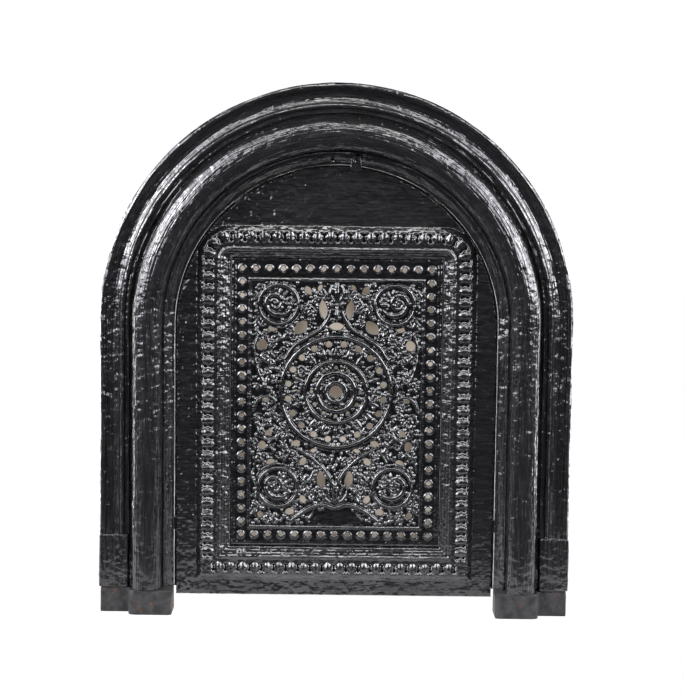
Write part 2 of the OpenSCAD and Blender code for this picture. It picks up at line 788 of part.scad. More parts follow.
// Low smooth mound in the middle of the foot of the fret.
module mound() {
    translate([0, 0.5 - web_front, -field_half_h - 32]) rotate([90, 0, 0]) intersection() {
        cylinder(r1 = 57, r2 = 47, h = relief + 1.5, $fn = 90);
        translate([-50, 33, -1]) cube([100, 40, 10]);
    }
}

module beads_half() {
    for (c = [coil_top, coil_low]) bead(c + [10, 3], 3);
    for (t = [2:4]) bead([60, 150] + 44 * [cos(190 + 13 * t), sin(190 + 13 * t)], 2.6);
    for (t = [0:5]) bead(rosette + 103 * [cos(8 + 9 * t), sin(8 + 9 * t)], 2.6);
    for (t = [0:4]) bead(rosette + 92 * [cos(-12 - 9 * t), sin(-12 - 9 * t)], 2.6);
    for (z = [-148, -136, 146, 158]) bead([116, z], 2.6);
}

module fret_beads() {
    both_sides() beads_half();
    for (i = [0:petals - 1]) let (a = i * 360 / petals) {
        bead(rosette + (light_at + 2) * [sin(a), cos(a)], 2.8);
        bead(rosette + (petal_r - 7) * [sin(a + 9), cos(a + 9)], 2);
    }
    for (i = [0:11]) bead(rosette + 35 * [cos(i * 30 + 15), sin(i * 30 + 15)], 3);
}

// Every eyelet of the row round the grille as [x, z].
function eyelets() =
    let (
        w = grille_half - eyelet_inset,
        h = grille_half_h - eyelet_inset,
        n = floor(2 * w / eyelet_pitch),
        m = floor(2 * h / eyelet_pitch)
    )
    concat(
        [for (i = [0:n], s = [-1, 1]) [(2 * i / n - 1) * w, s * h]],
        [for (i = [1:m - 1], s = [-1, 1]) [s * w, (2 * i / m - 1) * h]]);

module fret_grille() {
    color("#1a1a1e") on_wall() {
        difference() {
            union() {
                slab(web_back, grille_front) translate([0, window_mid]) difference() {
                    square([2 * grille_half, 2 * grille_half_h], center = true);
                    translate([0, field_z - window_mid])
                        square([2 * field_half, 2 * field_half_h], center = true);
                }
                slab(grille_front - 1, grille_front + 2) translate([0, field_z]) difference() {
                    square([2 * (field_half + frame_line), 2 * (field_half_h + frame_line)],
                        center = true);
                    square([2 * field_half, 2 * field_half_h], center = true);
                }
                slab(web_back, web_front) translate([0, field_z]) difference() {
                    square([2 * field_half + 4, 2 * field_half_h + 4], center = true);
                    fret_gaps();
                }
                translate([0, 0, field_z]) {
                    slab(web_front - 0.5, web_front + relief) fret_scrolls();
                    slab(web_front - 0.5, web_front + relief - 0.7) light_collars();
                    fret_beads();
                    mound();
                    translate([0, 0, ring_up]) {
                        raised_ring(ring_r - 1, 6, web_front);
                        raised_ring(44, 5, web_front);
                        raised_ring(27, 7, web_front);
                        raised_ring(12.5, 5, web_front);
                    }
                }
                for (p = grille_screw_places()) rod(p[0], p[1], tab_r, web_back, plate_back, 32);
                for (p = grille_screw_places()) tab(p);
            }
            for (p = eyelets())
                rod(p[0], window_mid + p[1], eyelet_r, web_back - 1, grille_front + 1, 24);
            for (p = grille_screw_places()) rod(p[0], p[1], screw_r, web_back - 1, plate_back + 1);
        }
    }
}

// Tab from the edge of the grille to one of its screws.
module tab(p) {
    side = abs(p[0]) > window_half;
    x0 = side ? min(abs(p[0]), grille_half - 4) * sign(p[0]) : p[0] - tab_r;
    w = side ? abs(p[0]) - grille_half + 4 : 2 * tab_r;
    up = sign(p[1] - window_mid);
    z0 = side ? p[1] - tab_r : window_mid + up * (grille_half_h - 4);
    h = side ? 2 * tab_r : abs(p[1] - window_mid) - grille_half_h + 4;
    translate([side && p[0] < 0 ? x0 - w : x0, -plate_back, side || up > 0 ? z0 : z0 - h])
        cube([w, plate_back - web_back, h]);
}

module grille_screws() {
    color("#6b6862") on_wall() for (p = grille_screw_places())
        screw(p[0], p[1], grille_screw_r, web_back, recess_d - 1.5, 2 * grille_screw_r, 3);
}

// Hook on the back of the cover that drops over a hanging pin. Its base stays below the
// curved edge of the cover.
module hanging_hook() {
    difference() {
        union() {
            translate([hook_x, 0, pin_z]) rotate([90, 0, 90]) linear_extrude(hook_t) union() {
                translate([-pin_d, 0]) circle(r = hook_r, $fn = 60);
                translate([-plate_back, -hook_r - 2]) square([-pin_d + plate_back, hook_r + 1]);
            }
            slab(plate_back - hook_base, plate_back)
                translate([hook_rivet_x - 6, pin_z - hook_foot])
                square([hook_x + hook_t - hook_rivet_x + 6, hook_foot - 1]);
        }
        translate([hook_x - 1, -pin_d, pin_z]) rotate([0, 90, 0])
            cylinder(r = pin_r + hook_gap, h = hook_t + 2, $fn = 48);
        translate([hook_x - 1, -pin_d - pin_r - hook_gap, pin_z - hook_r - 4])
            cube([hook_t + 2, 2 * (pin_r + hook_gap), hook_r + 4]);
        for (z = hook_rivet_zs())
            rod(hook_rivet_x, z, hook_rivet_r, plate_back - hook_base - 1, plate_back + 1);
    }
}

function hook_rivet_zs() = [pin_z - hook_foot + 6, pin_z - 7];

module left_hanging_hook() {
    color("#4a4642") on_wall() mirror([1, 0, 0]) hanging_hook();
}

module right_hanging_hook() {
    color("#4a4642") on_wall() hanging_hook();
}

module hook_rivets() {
    color("#6b6862") on_wall() both_sides() for (z = hook_rivet_zs())
        screw(hook_rivet_x, z, hook_rivet_r, plate_back - hook_base, plate_back,
            2 * hook_rivet_r, 2);
}

surround_frame();
left_plinth_block();
right_plinth_block();
plinth_screws();
left_foot();
right_foot();
foot_bolts();
foot_nuts();
stop_pin();
catch_rivet();
left_pin_bracket();
right_pin_bracket();
left_hanging_pin();
right_hanging_pin();
bracket_screws();
left_rest_bar();
right_rest_bar();
rest_screws();
crown_catch();
cover_plate();
fret_grille();
grille_screws();
left_hanging_hook();
right_hanging_hook();
hook_rivets();
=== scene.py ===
# %% [markdown]
# # An arched cast-iron hearth surround and its pierced summer cover
#
# This lesson dresses one object: the arched iron moulding that stands in front of a small
# coal hearth, and the pierced iron plate that closes it in summer. Both are sand castings that
# were brushed with thick gloss black stove enamel. Three things make such a casting look real:
# its mouldings are never quite straight, the enamel lies on it in soft lumps, and every lump
# throws a small white glint. So the two castings are built here as fine meshes with the lumps
# in the mesh itself, and the material only adds what is finer than the mesh.

# %% Load the fixed frame
import math

import bpy
import numpy as np
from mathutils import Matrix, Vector


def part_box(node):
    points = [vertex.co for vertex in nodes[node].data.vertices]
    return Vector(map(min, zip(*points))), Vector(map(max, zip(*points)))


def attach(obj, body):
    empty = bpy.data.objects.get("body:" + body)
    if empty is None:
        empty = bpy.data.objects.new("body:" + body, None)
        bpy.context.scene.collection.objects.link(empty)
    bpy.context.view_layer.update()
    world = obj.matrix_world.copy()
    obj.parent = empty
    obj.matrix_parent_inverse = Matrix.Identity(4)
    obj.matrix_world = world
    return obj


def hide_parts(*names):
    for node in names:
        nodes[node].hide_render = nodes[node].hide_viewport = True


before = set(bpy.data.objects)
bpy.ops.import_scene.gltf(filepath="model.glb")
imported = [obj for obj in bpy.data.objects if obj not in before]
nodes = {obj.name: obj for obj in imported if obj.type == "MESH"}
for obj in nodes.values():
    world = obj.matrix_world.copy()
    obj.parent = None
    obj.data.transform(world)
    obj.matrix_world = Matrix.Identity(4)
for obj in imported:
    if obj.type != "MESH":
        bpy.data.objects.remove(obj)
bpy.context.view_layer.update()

MM = 0.001
wall_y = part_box("surround_frame")[1].y / MM
print("frame:", len(nodes), "nodes, wall plane at y =", round(wall_y, 2), "mm")

# %% [markdown]
# ## The camera
#
# The photograph was taken nearly straight on, from about two and a half metres and a little
# above the middle of the arch, so the legs draw together slightly towards the floor. A long
# lens gives the same faint keystone. The object leans by less than a degree in the picture, so
# the camera is rolled by that much.

# %% Camera
camera_far, camera_high = 2.5, 0.62
aim_side, aim_high = 0.008, 0.382
lens, sensor, lean = 91.4, 36.0, 0.7


def add_object(name, data):
    """A new object that holds the data, linked to the scene."""
    thing = bpy.data.objects.new(name, data)
    bpy.context.scene.collection.objects.link(thing)
    return thing


def point_at(thing, place, aim):
    """Puts a camera or a lamp in place, facing the aim."""
    towards = Vector(aim) - Vector(place)
    thing.location = place
    thing.rotation_euler = towards.to_track_quat("-Z", "Y").to_euler()
    return towards


camera = add_object("camera", bpy.data.cameras.new("camera"))
towards = point_at(camera, (0.0, -camera_far, camera_high), (aim_side, 0.0, aim_high))
camera.rotation_euler.rotate_axis("Z", math.radians(lean))
camera.data.lens = lens
camera.data.sensor_width = sensor
bpy.context.scene.camera = camera
print("camera pitched", round(math.degrees(math.atan2(-towards.z, towards.y)), 2), "degrees down")

# %% [markdown]
# ## Node helpers
#
# Every colour below is written as an sRGB hex value, as one would pick it from a paint chart.
# Blender works in linear light, so one function turns hex into linear. A second one adds any
# shader node with its settings and links in a single call. A node given as an input feeds its
# first output, and a colour ramp takes its stops as positions and hex colours.

# %% Colour and node helpers
def paint(hex_code):
    """An sRGB hex colour as linear red, green, blue and alpha."""
    parts = [int(hex_code[i:i + 2], 16) / 255 for i in (1, 3, 5)]
    return [p / 12.92 if p <= 0.04045 else ((p + 0.055) / 1.055) ** 2.4 for p in parts] + [1.0]


def add(tree, kind, inputs=None, stops=(), **settings):
    """Adds one node; inputs gives sockets a value, or the node or socket that feeds them."""
    node = tree.nodes.new("ShaderNode" + kind)
    for name, value in settings.items():
        setattr(node, name, value)
    for name, value in (inputs or {}).items():
        if isinstance(value, bpy.types.Node):
            value = value.outputs[0]
        if isinstance(value, bpy.types.NodeSocket):
            tree.links.new(value, node.inputs[name])
        else:
            node.inputs[name].default_value = value
    for i, (position, colour) in enumerate(stops):
        node.color_ramp.elements[i].position = position
        node.color_ramp.elements[i].color = paint(colour)
    return node


def new_material(name):
    """A material, its empty tree, and the object's own coordinates in it."""
    material = bpy.data.materials.new(name)
    material.use_nodes = True
    tree = material.node_tree
    tree.nodes.clear()
    return material, tree, add(tree, "TexCoord").outputs["Object"]


print("linear of #808080:", round(paint("#808080")[0], 3))

# %% [markdown]
# ## Gloss black stove enamel, brushed over a rough casting
#
# The enamel is a thick alkyd gloss. It is nearly black, a clear plastic-like film with an IOR
# of about 1.5, smooth where it pooled and uneven where it was brushed out over the sandy skin
# of the iron. That gives the eye sharp white glints on a deep black. A glint is only seen if
# it is about as large as a pixel, so the lumps are drawn at the sizes that the photograph
# shows: ripples of 13 mm, lumps of 6 mm, and brush marks 3 mm wide and up to 40 mm long. The
# brush followed the mouldings, so on the surround the marks run up the legs and round the arch,
# and on the cover they lie level. Under the clear film the black itself is duller, and it is
# that rough layer which spreads a soft grey beside each glint. On the fret the gloss and the
# specular are held back in the deep ground: a painted shade that darkens the hollows between
# the raised work. The mesh carries an attribute for it that runs from 0 in the ground to 1 on
# the raised work.

# %% Brush strokes
def along_the_arch(tree, where, spring=0.42, arch=0.28):
    """Coordinates that run across the moulding, out from the wall, and along the moulding."""
    part = add(tree, "SeparateXYZ", {"Vector": where}).outputs
    rise = add(tree, "Math", {0: part["Z"], 1: spring}, operation="SUBTRACT")
    over = add(tree, "Math", {0: rise, 1: 0.0}, operation="MAXIMUM")
    flat = add(tree, "CombineXYZ", {"X": part["X"], "Z": over})
    out = add(tree, "VectorMath", {0: flat}, operation="LENGTH").outputs["Value"]
    turn = add(tree, "Math", {0: part["X"], 1: over}, operation="ARCTAN2")
    up = add(tree, "Math", {0: part["Z"], 1: spring}, operation="MINIMUM")
    run = add(tree, "Math", {0: turn, 1: arch, 2: up}, operation="MULTIPLY_ADD")
    return add(tree, "CombineXYZ", {"X": out, "Y": part["Y"], "Z": run})

# %% Enamel material
cloud_size, ripple_size, lump_size, mark_size = 0.045, 0.013, 0.0062, 0.0028


def stove_enamel(name, deep, thin, stroke_scale, marked, film, round_the_arch=False,
                 painted_ground_shade=False):
    """Film is the weight of the clear coat where the enamel is deep and where it is thin."""
    material, tree, where = new_material(name)
    broad = add(tree, "TexNoise", {"Vector": where, "Scale": 1 / cloud_size, "Detail": 3.0})
    tint = add(tree, "ValToRGB", {"Fac": broad}, stops=[(0.35, deep), (0.68, thin)])
    ripple = add(tree, "TexNoise", {"Vector": where, "Scale": 1 / ripple_size, "Detail": 1.0})
    fine = add(tree, "TexNoise", {"Vector": where, "Scale": 1 / lump_size, "Detail": 1.0})
    strokes = along_the_arch(tree, where) if round_the_arch else where
    drawn = add(tree, "VectorMath", {0: strokes, 1: stroke_scale}, operation="MULTIPLY")
    marks = add(tree, "TexNoise", {"Vector": drawn, "Scale": 1 / mark_size, "Detail": 1.0})
    worn = add(tree, "MapRange", {"Value": marks, "From Min": 0.35, "From Max": 0.65,
                                  "To Min": 0.2, "To Max": 0.38})
    gloss = add(tree, "MapRange", {"Value": broad, "From Min": 0.4, "From Max": 0.65,
                                   "To Min": film[0], "To Max": film[1]})
    level = 0.25
    # Painted shade: where the fret's attribute is low, in the ground between the raised work, the
    # clear coat and the specular are dimmed to darken the hollows.
    if painted_ground_shade:
        raised_share = add(tree, "Attribute", attribute_name="out_of_painted_shade").outputs["Fac"]
        out_of_painted_shade = add(tree, "MapRange", {"Value": raised_share, "To Min": 0.1})
        gloss = add(tree, "Math", {0: gloss, 1: out_of_painted_shade}, operation="MULTIPLY")
        level = add(tree, "Math", {0: out_of_painted_shade, 1: level}, operation="MULTIPLY")
    normal = None
    for height, strength, distance in [(ripple, 0.8, 0.0022), (fine, 0.9, 0.0010),
                                       (marks, marked, 0.0009)]:
        below = {} if normal is None else {"Normal": normal}
        normal = add(tree, "Bump", {"Height": height, "Strength": strength,
                                    "Distance": distance, **below})
    shader = add(tree, "BsdfPrincipled", {
        "Base Color": tint, "Roughness": worn, "Normal": normal, "IOR": 1.5,
        "Specular IOR Level": level, "Coat Weight": gloss, "Coat Roughness": 0.06,
        "Coat Normal": normal})
    add(tree, "OutputMaterial", {"Surface": shader})
    return material


enamel = stove_enamel("gloss_black_stove_enamel_brushed_level", "#09090a", "#0f0f10",
                      (0.12, 1, 1), 0.5, (0.9, 0.5))
arch_enamel = stove_enamel("gloss_black_stove_enamel_brushed_round", "#0a0a0a", "#0f0f10",
                           (1, 1, 0.07), 1.4, (0.95, 0.5), round_the_arch=True)
pooled_enamel = stove_enamel("gloss_black_stove_enamel_pooled", "#030303", "#060607",
                             (0.3, 1, 1), 0.15, (1.0, 0.85), painted_ground_shade=True)
print("made", enamel.name, arch_enamel.name, pooled_enamel.name)

# %% [markdown]
# ## Bare cast iron
#
# The feet were left out of the paint. Cast iron that stands indoors goes a graphite grey, with
# brown rust where damp stays. It is a metal, but its skin of oxide and graphite is rough and
# dull, so the base is only partly metallic and fairly rough. That gives the eye a soft grey
# sheen with no clear reflection in it. The mottling is about 12 mm across, the pits about 1 mm.

# %% Bare iron and small iron parts
def bare_iron(name, light, dark, rust, rusty, shine):
    """Rusty widens the patches of rust, and shine is the least roughness."""
    material, tree, where = new_material(name)
    cloud = add(tree, "TexNoise", {"Vector": where, "Scale": 1 / 0.012, "Detail": 5.0,
                                   "Roughness": 0.6})
    iron = add(tree, "ValToRGB", {"Fac": cloud}, stops=[(0.38, dark), (0.62, light)])
    damp = add(tree, "TexNoise", {"Vector": where, "Scale": 1 / 0.02, "Detail": 6.0,
                                  "Roughness": 0.7})
    stain = add(tree, "MapRange", {"Value": damp, "From Min": 0.6 - rusty,
                                   "From Max": 0.72 - rusty})
    skin = add(tree, "Mix", {0: stain, 6: iron, 7: paint(rust)}, data_type="RGBA").outputs[2]
    pits = add(tree, "TexNoise", {"Vector": where, "Scale": 1 / 0.0013, "Detail": 4.0})
    grit = add(tree, "Bump", {"Height": pits, "Strength": 0.6, "Distance": 0.0005})
    dull = add(tree, "MapRange", {"Value": pits, "From Min": 0.3, "From Max": 0.7,
                                  "To Min": shine, "To Max": 0.75})
    shader = add(tree, "BsdfPrincipled", {"Base Color": skin, "Roughness": dull,
                                          "Metallic": 0.6, "Normal": grit})
    add(tree, "OutputMaterial", {"Surface": shader})
    return material


foot_iron = bare_iron("bare_cast_iron_graphite", "#2b2a2a", "#171616", "#4a2f1e", 0.02, 0.38)
black_iron = bare_iron("forged_iron_scale", "#4a4744", "#2a2826", "#4e3526", 0.0, 0.45)
screw_steel = bare_iron("turned_mild_steel", "#8a857c", "#5c574f", "#6a4a30", -0.05, 0.3)
print("made", foot_iron.name, black_iron.name, screw_steel.name)

# %% [markdown]
# ## Lumps
#
# Brushed enamel stands in soft humps. A smooth random field gives them: every point of space
# falls in a cube of a lattice, each corner of the lattice has a fixed random height, and the
# point takes a smooth blend of its eight corners. Worked on whole arrays at once it is quick
# enough for half a million points, and the same seed gives the same humps on every run.

# %% Lumps
def lumps(points, size, seed):
    """Random heights from -1 to 1 at points in mm, with humps about `size` mm apart."""
    cells = np.asarray(points, float) / size + 31.7 * seed
    base = np.floor(cells).astype(np.int64)
    part = cells - base
    part = part * part * (3 - 2 * part)
    total = np.zeros(len(cells))
    for corner in range(8):
        step = np.array([corner & 1, corner >> 1 & 1, corner >> 2])
        cell = base + step
        code = cell[:, 0] * 73856093 ^ cell[:, 1] * 19349663 ^ cell[:, 2] * 83492791
        code = (code ^ code >> 13) * 1274126177 & 0xFFFFFFFF
        height = ((code ^ code >> 16) & 0xFFFF) / 32767.5 - 1
        total += height * np.prod(np.where(step == 1, part, 1 - part), axis=1)
    return total


def layers(points, amounts, seed):
    """Sum of lumps for (size, height) pairs, both in mm."""
    return sum(high * lumps(points, size, seed + i) for i, (size, high) in enumerate(amounts))


sample = layers(np.random.default_rng(1).uniform(0, 500, (4000, 3)), [(7, 0.2), (2.5, 0.1)], 3)
print("lumps from", round(sample.min(), 3), "to", round(sample.max(), 3), "mm")

# %% [markdown]
# ## From arrays to a piece
#
# The castings are worked out in millimetres as [x, d, z], where d is how far a point stands in
# front of the wall. One function turns such an array and its faces into a Blender object in
# metres, and hands it to the body that carries it.

# %% Mesh helpers
crease = math.radians(40)


def to_world(points):
    """[x, d, z] in mm to [x, y, z] in metres."""
    return np.stack([points[:, 0], wall_y - points[:, 1], points[:, 2]], axis=1) * MM


def mesh_object(name, points, faces, material):
    """A smooth mesh in the scene, from points in metres."""
    mesh = bpy.data.meshes.new(name)
    mesh.from_pydata(points, [], faces)
    mesh.validate()
    mesh.polygons.foreach_set("use_smooth", [True] * len(mesh.polygons))
    mesh.materials.append(material)
    return add_object(name, mesh)


def make_piece(name, points, faces, body, material, replaced, out_of_painted_shade=None):
    piece = mesh_object(name, to_world(points).tolist(), faces, material)
    piece.data.set_sharp_from_angle(angle=crease)
    # The optional attribute is the fret's painted shade mask, 0 in the low ground and 1 on the
    # raised work.
    if out_of_painted_shade is not None:
        piece.data.attributes.new("out_of_painted_shade", "FLOAT", "POINT").data.foreach_set("value", out_of_painted_shade)
    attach(piece, body)
    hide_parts(*replaced)
    print(name, len(points), "points,", len(faces), "faces")


def vertex_normals(points, faces):
    """Mean normal at each point of a quad mesh."""
    corners = points[faces]
    across = np.cross(corners[:, 2] - corners[:, 0], corners[:, 3] - corners[:, 1])
    total = np.zeros_like(points)
    for k in range(4):
        np.add.at(total, faces[:, k], across)
    return total / np.maximum(np.linalg.norm(total, axis=1, keepdims=True), 1e-9)


print("helpers ready")

# %% [markdown]
# ## The arched surround: one section swept up, over and down
#
# A moulder would cut this shape with a strickle board: one profile drawn along the two legs
# and round the arch. In Blender a curve with a bevel object could do it, but the great roll
# springs 5 mm lower than the rim and the toe 9 mm lower, so the hollows between them widen
# towards the crown. A grid written out in code follows that: one row of points for each place
# along the path, one column for each point of the section. The back of the section is hollow,
# as in the real casting, where an even wall cools without cracking.

# %% Section of the moulding
def polar(centre, radius, degrees):
    """The point at a radius and an angle from a centre."""
    a = math.radians(degrees)
    return centre[0] + radius * math.cos(a), centre[1] + radius * math.sin(a)


def arc(centre, radius, start, end, count):
    return [polar(centre, radius, a) for a in np.linspace(start, end, count)]


outer_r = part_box("surround_frame")[1].x / MM
foot_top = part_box("surround_frame")[0].z / MM
spring_rim, spring_roll, spring_toe = 420.0, 415.0, 411.0
rim_r, rim_d = 5.0, 20.0
ridge_at, ridge_r, ridge_d = 32.9, 3.5, 25.0
fillet_d, quirk_d = 21.0, 15.0
roll_at, roll_wide, roll_d = 47.8, 42.0, 45.0
shoulder_r, crown_r = 12.0, 30.0
bead_at, bead_r = 91.2, 2.2
toe_from, toe_to, toe_d, opening_at = 91.8, 104.8, 8.5, 105.8
wall = 6.0


def great_roll(inset):
    """The front of the great roll: two shoulders that run into a flatter crown."""
    half = roll_wide / 2
    spread = half - shoulder_r
    turn = math.degrees(math.asin(spread / (crown_r - shoulder_r)))
    base = roll_d - crown_r
    up = base + (crown_r - shoulder_r) * math.cos(math.radians(turn))
    middle = roll_at + half
    return (arc((middle - spread, up), shoulder_r - inset, 180, 90 + turn, 14)
            + arc((middle, base), crown_r - inset, 90 + turn, 90 - turn, 22)
            + arc((middle + spread, up), shoulder_r - inset, 90 - turn, 0, 14))


front = [(0.3, 0.0)] + arc((rim_r, rim_d - rim_r), rim_r, 180, 30, 12)
front += [(9.4 + 20 * t, 17 - 4 * math.sin(math.pi * t) + 0.5 * t)
          for t in np.linspace(0.1, 0.9, 12)]
front += arc((ridge_at, ridge_d - ridge_r), ridge_r, 200, 0, 12)
front += [(36.8, fillet_d), (42.2, fillet_d), (42.8, quirk_d), (roll_at, quirk_d)]
front += great_roll(0) + [(89.4, quirk_d + bead_r + 1)]
front += arc((bead_at, quirk_d), bead_r, 140, -5, 9)
toe_deep = quirk_d - toe_d
front += [(toe_from + (toe_to - toe_from) * t, toe_d + toe_deep * (1 + math.cos(math.pi * t)) / 2)
          for t in np.linspace(0.16, 1, 12)]
front += [(opening_at, toe_d - 1), (opening_at, 0.0)]
back = [(98.8, 0.0), (98.8, 2.5), (92.8, 9.0), (89.4, 9.0), (89.4, 0.0), (82.8, 0.0)]
back += [(s + (1 if s < 68.8 else -1), d) for s, d in great_roll(wall)[::-1]]
back += [(54.8, 0.0), (48.2, 0.0), (48.2, 9.0), (42.4, 9.0), (42.4, 0.0), (36.4, 0.0),
         (36.4, 15.0), (31.9, 15.0), (27.4, 7.0), (7.0, 7.0), (6.0, 6.0), (6.0, 0.0)]


def resample(points, step):
    """The same line with extra points, so that no stretch is longer than step."""
    line = []
    for a, b in zip(points[:-1], points[1:]):
        count = max(1, math.ceil(math.dist(a, b) / step))
        line += [(a[0] + (b[0] - a[0]) * i / count, a[1] + (b[1] - a[1]) * i / count)
                 for i in range(count)]
    return line + [points[-1]]


front_line = resample(front, 1.3)
section = np.array(front_line + resample(back, 6.0))
print("section:", len(front_line), "points in front,", len(section) - len(front_line), "behind")

# %% [markdown]
# Below the plinth line the outer mouldings stop: there the leg is a low seat under a plain
# plinth block, so those rows are cut down to the seat's height.

# %% Sweep
plinth_top, seat_d, seat_to = 113.0, 10.0, 42.6
level_top, row_step = 380.0, 1.9
low_rows = np.concatenate([np.linspace(foot_top, plinth_top - 0.4, 40),
                           np.linspace(plinth_top, level_top, 140)])
high_rows = np.linspace(0, 1, 18)[1:]
turn_rows = np.linspace(0, 180, int(math.pi * outer_r / row_step))
spring = np.where(section[:, 0] < 45, spring_rim,
                  np.where(section[:, 0] < 93.3, spring_roll, spring_toe))
reach = outer_r - section[:, 0]
depth = section[:, 1]


def leg_rows(side):
    """Level rows, and above them rows that fan out to the three springing lines."""
    on_seat = np.where(section[:, 0] < seat_to, np.minimum(depth, seat_d), depth)
    rows = [np.stack([side * reach, on_seat if z < plinth_top else depth,
                      np.full(len(depth), z)], axis=1) for z in low_rows]
    return rows + [np.stack([side * reach, depth, level_top + (spring - level_top) * t], axis=1)
                   for t in high_rows]


arch_rows = [np.stack([reach * math.cos(a), depth, spring + reach * math.sin(a)], axis=1)
             for a in np.radians(turn_rows[1:-1])]
grid = np.array(leg_rows(1) + arch_rows + leg_rows(-1)[::-1])
count, width = grid.shape[:2]
points = grid.reshape(-1, 3)
index = np.arange(count * width).reshape(count, width)
left, right = index[:-1], index[1:]
quads = np.stack([left, np.roll(left, -1, 1), np.roll(right, -1, 1), right], axis=-1)
quads = quads.reshape(-1, 4)
print("swept", count, "rows of", width)

# %% [markdown]
# The enamel was brushed along the mouldings, so its ridges run that way: these lumps are made
# in the coordinates of the sweep, long along the path and narrow across it. Rounder ones are
# added in space. The casting itself is a little wavy over a hand's breadth.

# %% Brush marks and lumps on the surround
normals = vertex_normals(points, quads)
along = np.cumsum(np.concatenate([[0], np.linalg.norm(np.diff(grid[:, 0], axis=0), axis=1)]))
across = np.cumsum(np.concatenate([[0], np.linalg.norm(np.diff(section, axis=0), axis=1)]))
brushed = np.stack(np.broadcast_arrays(along[:, None] / 6, across[None, :], 0.0), axis=-1)
brushed = brushed.reshape(-1, 3)
on_front = np.tile(np.arange(width) < len(front_line), count)
push = layers(points, [(70, 0.5), (24, 0.22), (9, 0.13), (4.2, 0.07)], 11)
push += layers(brushed, [(6.5, 0.12), (3.4, 0.07)], 23)
push = np.where(on_front, push, 0.5 * layers(points, [(60, 0.5), (8, 0.3)], 31))
push[points[:, 1] < 0.5] = 0
at_foot = np.clip(1 - (points[:, 2] - foot_top) / 5, 0, 1)
push += on_front * at_foot * 0.8 * np.maximum(lumps(points, 6, 47), 0)
print("lumps on the surround reach", round(float(np.abs(push).max()), 2), "mm")

# %% Make the surround
points = points + normals * push[:, None]
points[:, 1] = np.maximum(points[:, 1], 0.0)
points[:, 0] = np.clip(points[:, 0], -outer_r, outer_r)
faces = quads.tolist() + [index[0][::-1].tolist(), index[-1].tolist()]
make_piece("surround_casting", points, faces, "surround", arch_enamel,
           ["surround_frame"])

# %% [markdown]
# ## Flat castings as height fields
#
# The cover and its fret have no undercut: a pattern had to be drawn out of the sand, so every
# point of the face is reached from the front. That means one number per place is enough, the
# height d over a fine grid of x and z. It could be done with a displaced plane, but the holes
# have to be real. So a second field says how far each place lies inside the metal. Cells
# outside are left out, and the points along every edge are slid onto the exact outline, which
# keeps the round holes round. The edge is then rounded over as thick enamel rounds it.

# %% Cast sheet
def grid_of(x0, x1, z0, z1, step):
    x = np.linspace(x0, x1, round((x1 - x0) / step) + 1)
    z = np.linspace(z0, z1, round((z1 - z0) / step) + 1)
    return x, z, *np.meshgrid(x, z)


def four_round(field):
    """The sum of the four values round each crossing of a grid."""
    return field[:-1, :-1] + field[1:, :-1] + field[:-1, 1:] + field[1:, 1:]


def cast_sheet(x, z, high, inside, back, round_r):
    """Points and faces of a sheet with front heights `high`, solid where `inside` > 0."""
    kept = np.pad(four_round(inside) > 0, 1)
    around = four_round(kept.astype(int))
    used, rim = around > 0, (around > 0) & (around < 4)
    slope_z, slope_x = np.gradient(inside, z, x)
    slide = np.where(rim, -inside / (slope_x ** 2 + slope_z ** 2 + 1e-6), 0)
    most = 0.75 * (x[1] - x[0])
    grid_x, grid_z = np.meshgrid(x, z)
    px = (grid_x + np.clip(slide * slope_x, -most, most))[used]
    pz = (grid_z + np.clip(slide * slope_z, -most, most))[used]
    depth = np.clip(np.where(rim, 0, inside), 0, round_r)
    front = high - (round_r - np.sqrt(round_r ** 2 - (round_r - depth) ** 2))
    front = np.maximum(front, back + 0.4)[used]
    total = len(front)
    number = np.full(inside.shape, -1)
    number[used] = np.arange(total)
    cell = kept[1:-1, 1:-1]
    a, b = number[:-1, :-1][cell], number[:-1, 1:][cell]
    c, d = number[1:, 1:][cell], number[1:, :-1][cell]
    quads = [np.stack([a, b, c, d], axis=1), np.stack([d, c, b, a], axis=1) + total]
    for p, q, beyond in [(a, b, kept[:-2, 1:-1]), (b, c, kept[1:-1, 2:]),
                         (c, d, kept[2:, 1:-1]), (d, a, kept[1:-1, :-2])]:
        open_side = ~beyond[cell]
        p, q = p[open_side], q[open_side]
        quads.append(np.stack([q, p, p + total, q + total], axis=1))
    sides = [np.stack([px, d, pz], axis=1) for d in (front, np.full(total, back))]
    return np.concatenate(sides), np.concatenate(quads)


def soften(field, times):
    """Averages a field with its neighbours, as a coat of enamel softens an edge."""
    for _ in range(times):
        wide = np.pad(field, 1, mode="edge")
        field = (4 * field + wide[:-2, 1:-1] + wide[2:, 1:-1]
                 + wide[1:-1, :-2] + wide[1:-1, 2:]) / 8
    return field


def dome(far_squared):
    """Height of a round hump at the square of a distance, as a share of its radius."""
    return np.sqrt(np.clip(1 - far_squared, 0, 1))


def turned(gx, gz, degrees):
    """Distances along and across a direction that is turned away from x."""
    cos, sin = math.cos(math.radians(degrees)), math.sin(math.radians(degrees))
    return gx * cos + gz * sin, gz * cos - gx * sin


def patch(x, z, centre, reach):
    """The part of a grid within reach of a centre, and its offsets from it in x and z."""
    i0, i1 = np.searchsorted(z, [centre[1] - reach, centre[1] + reach])
    j0, j1 = np.searchsorted(x, [centre[0] - reach, centre[0] + reach])
    return np.s_[i0:i1, j0:j1], *np.meshgrid(x[j0:j1] - centre[0], z[i0:i1] - centre[1])


def carve(inside, x, z, centre, reach, distance):
    """Cuts a hole: distance(x, z) from the centre is negative inside the hole."""
    near, gx, gz = patch(x, z, centre, reach)
    inside[near] = np.minimum(inside[near], distance(gx, gz))


print("sheet helpers ready")

# %% [markdown]
# ## The cover plate
#
# The plate is plain and thin, with a raised border round the window. The border's outer edge
# slopes, a row of figure-of-eight slots runs round it, then comes a thin raised line, and then
# a moulding that sinks to the window. Its two upper corners are rounded and the lower two are
# mitred, where the enamel catches the light in a thin line.

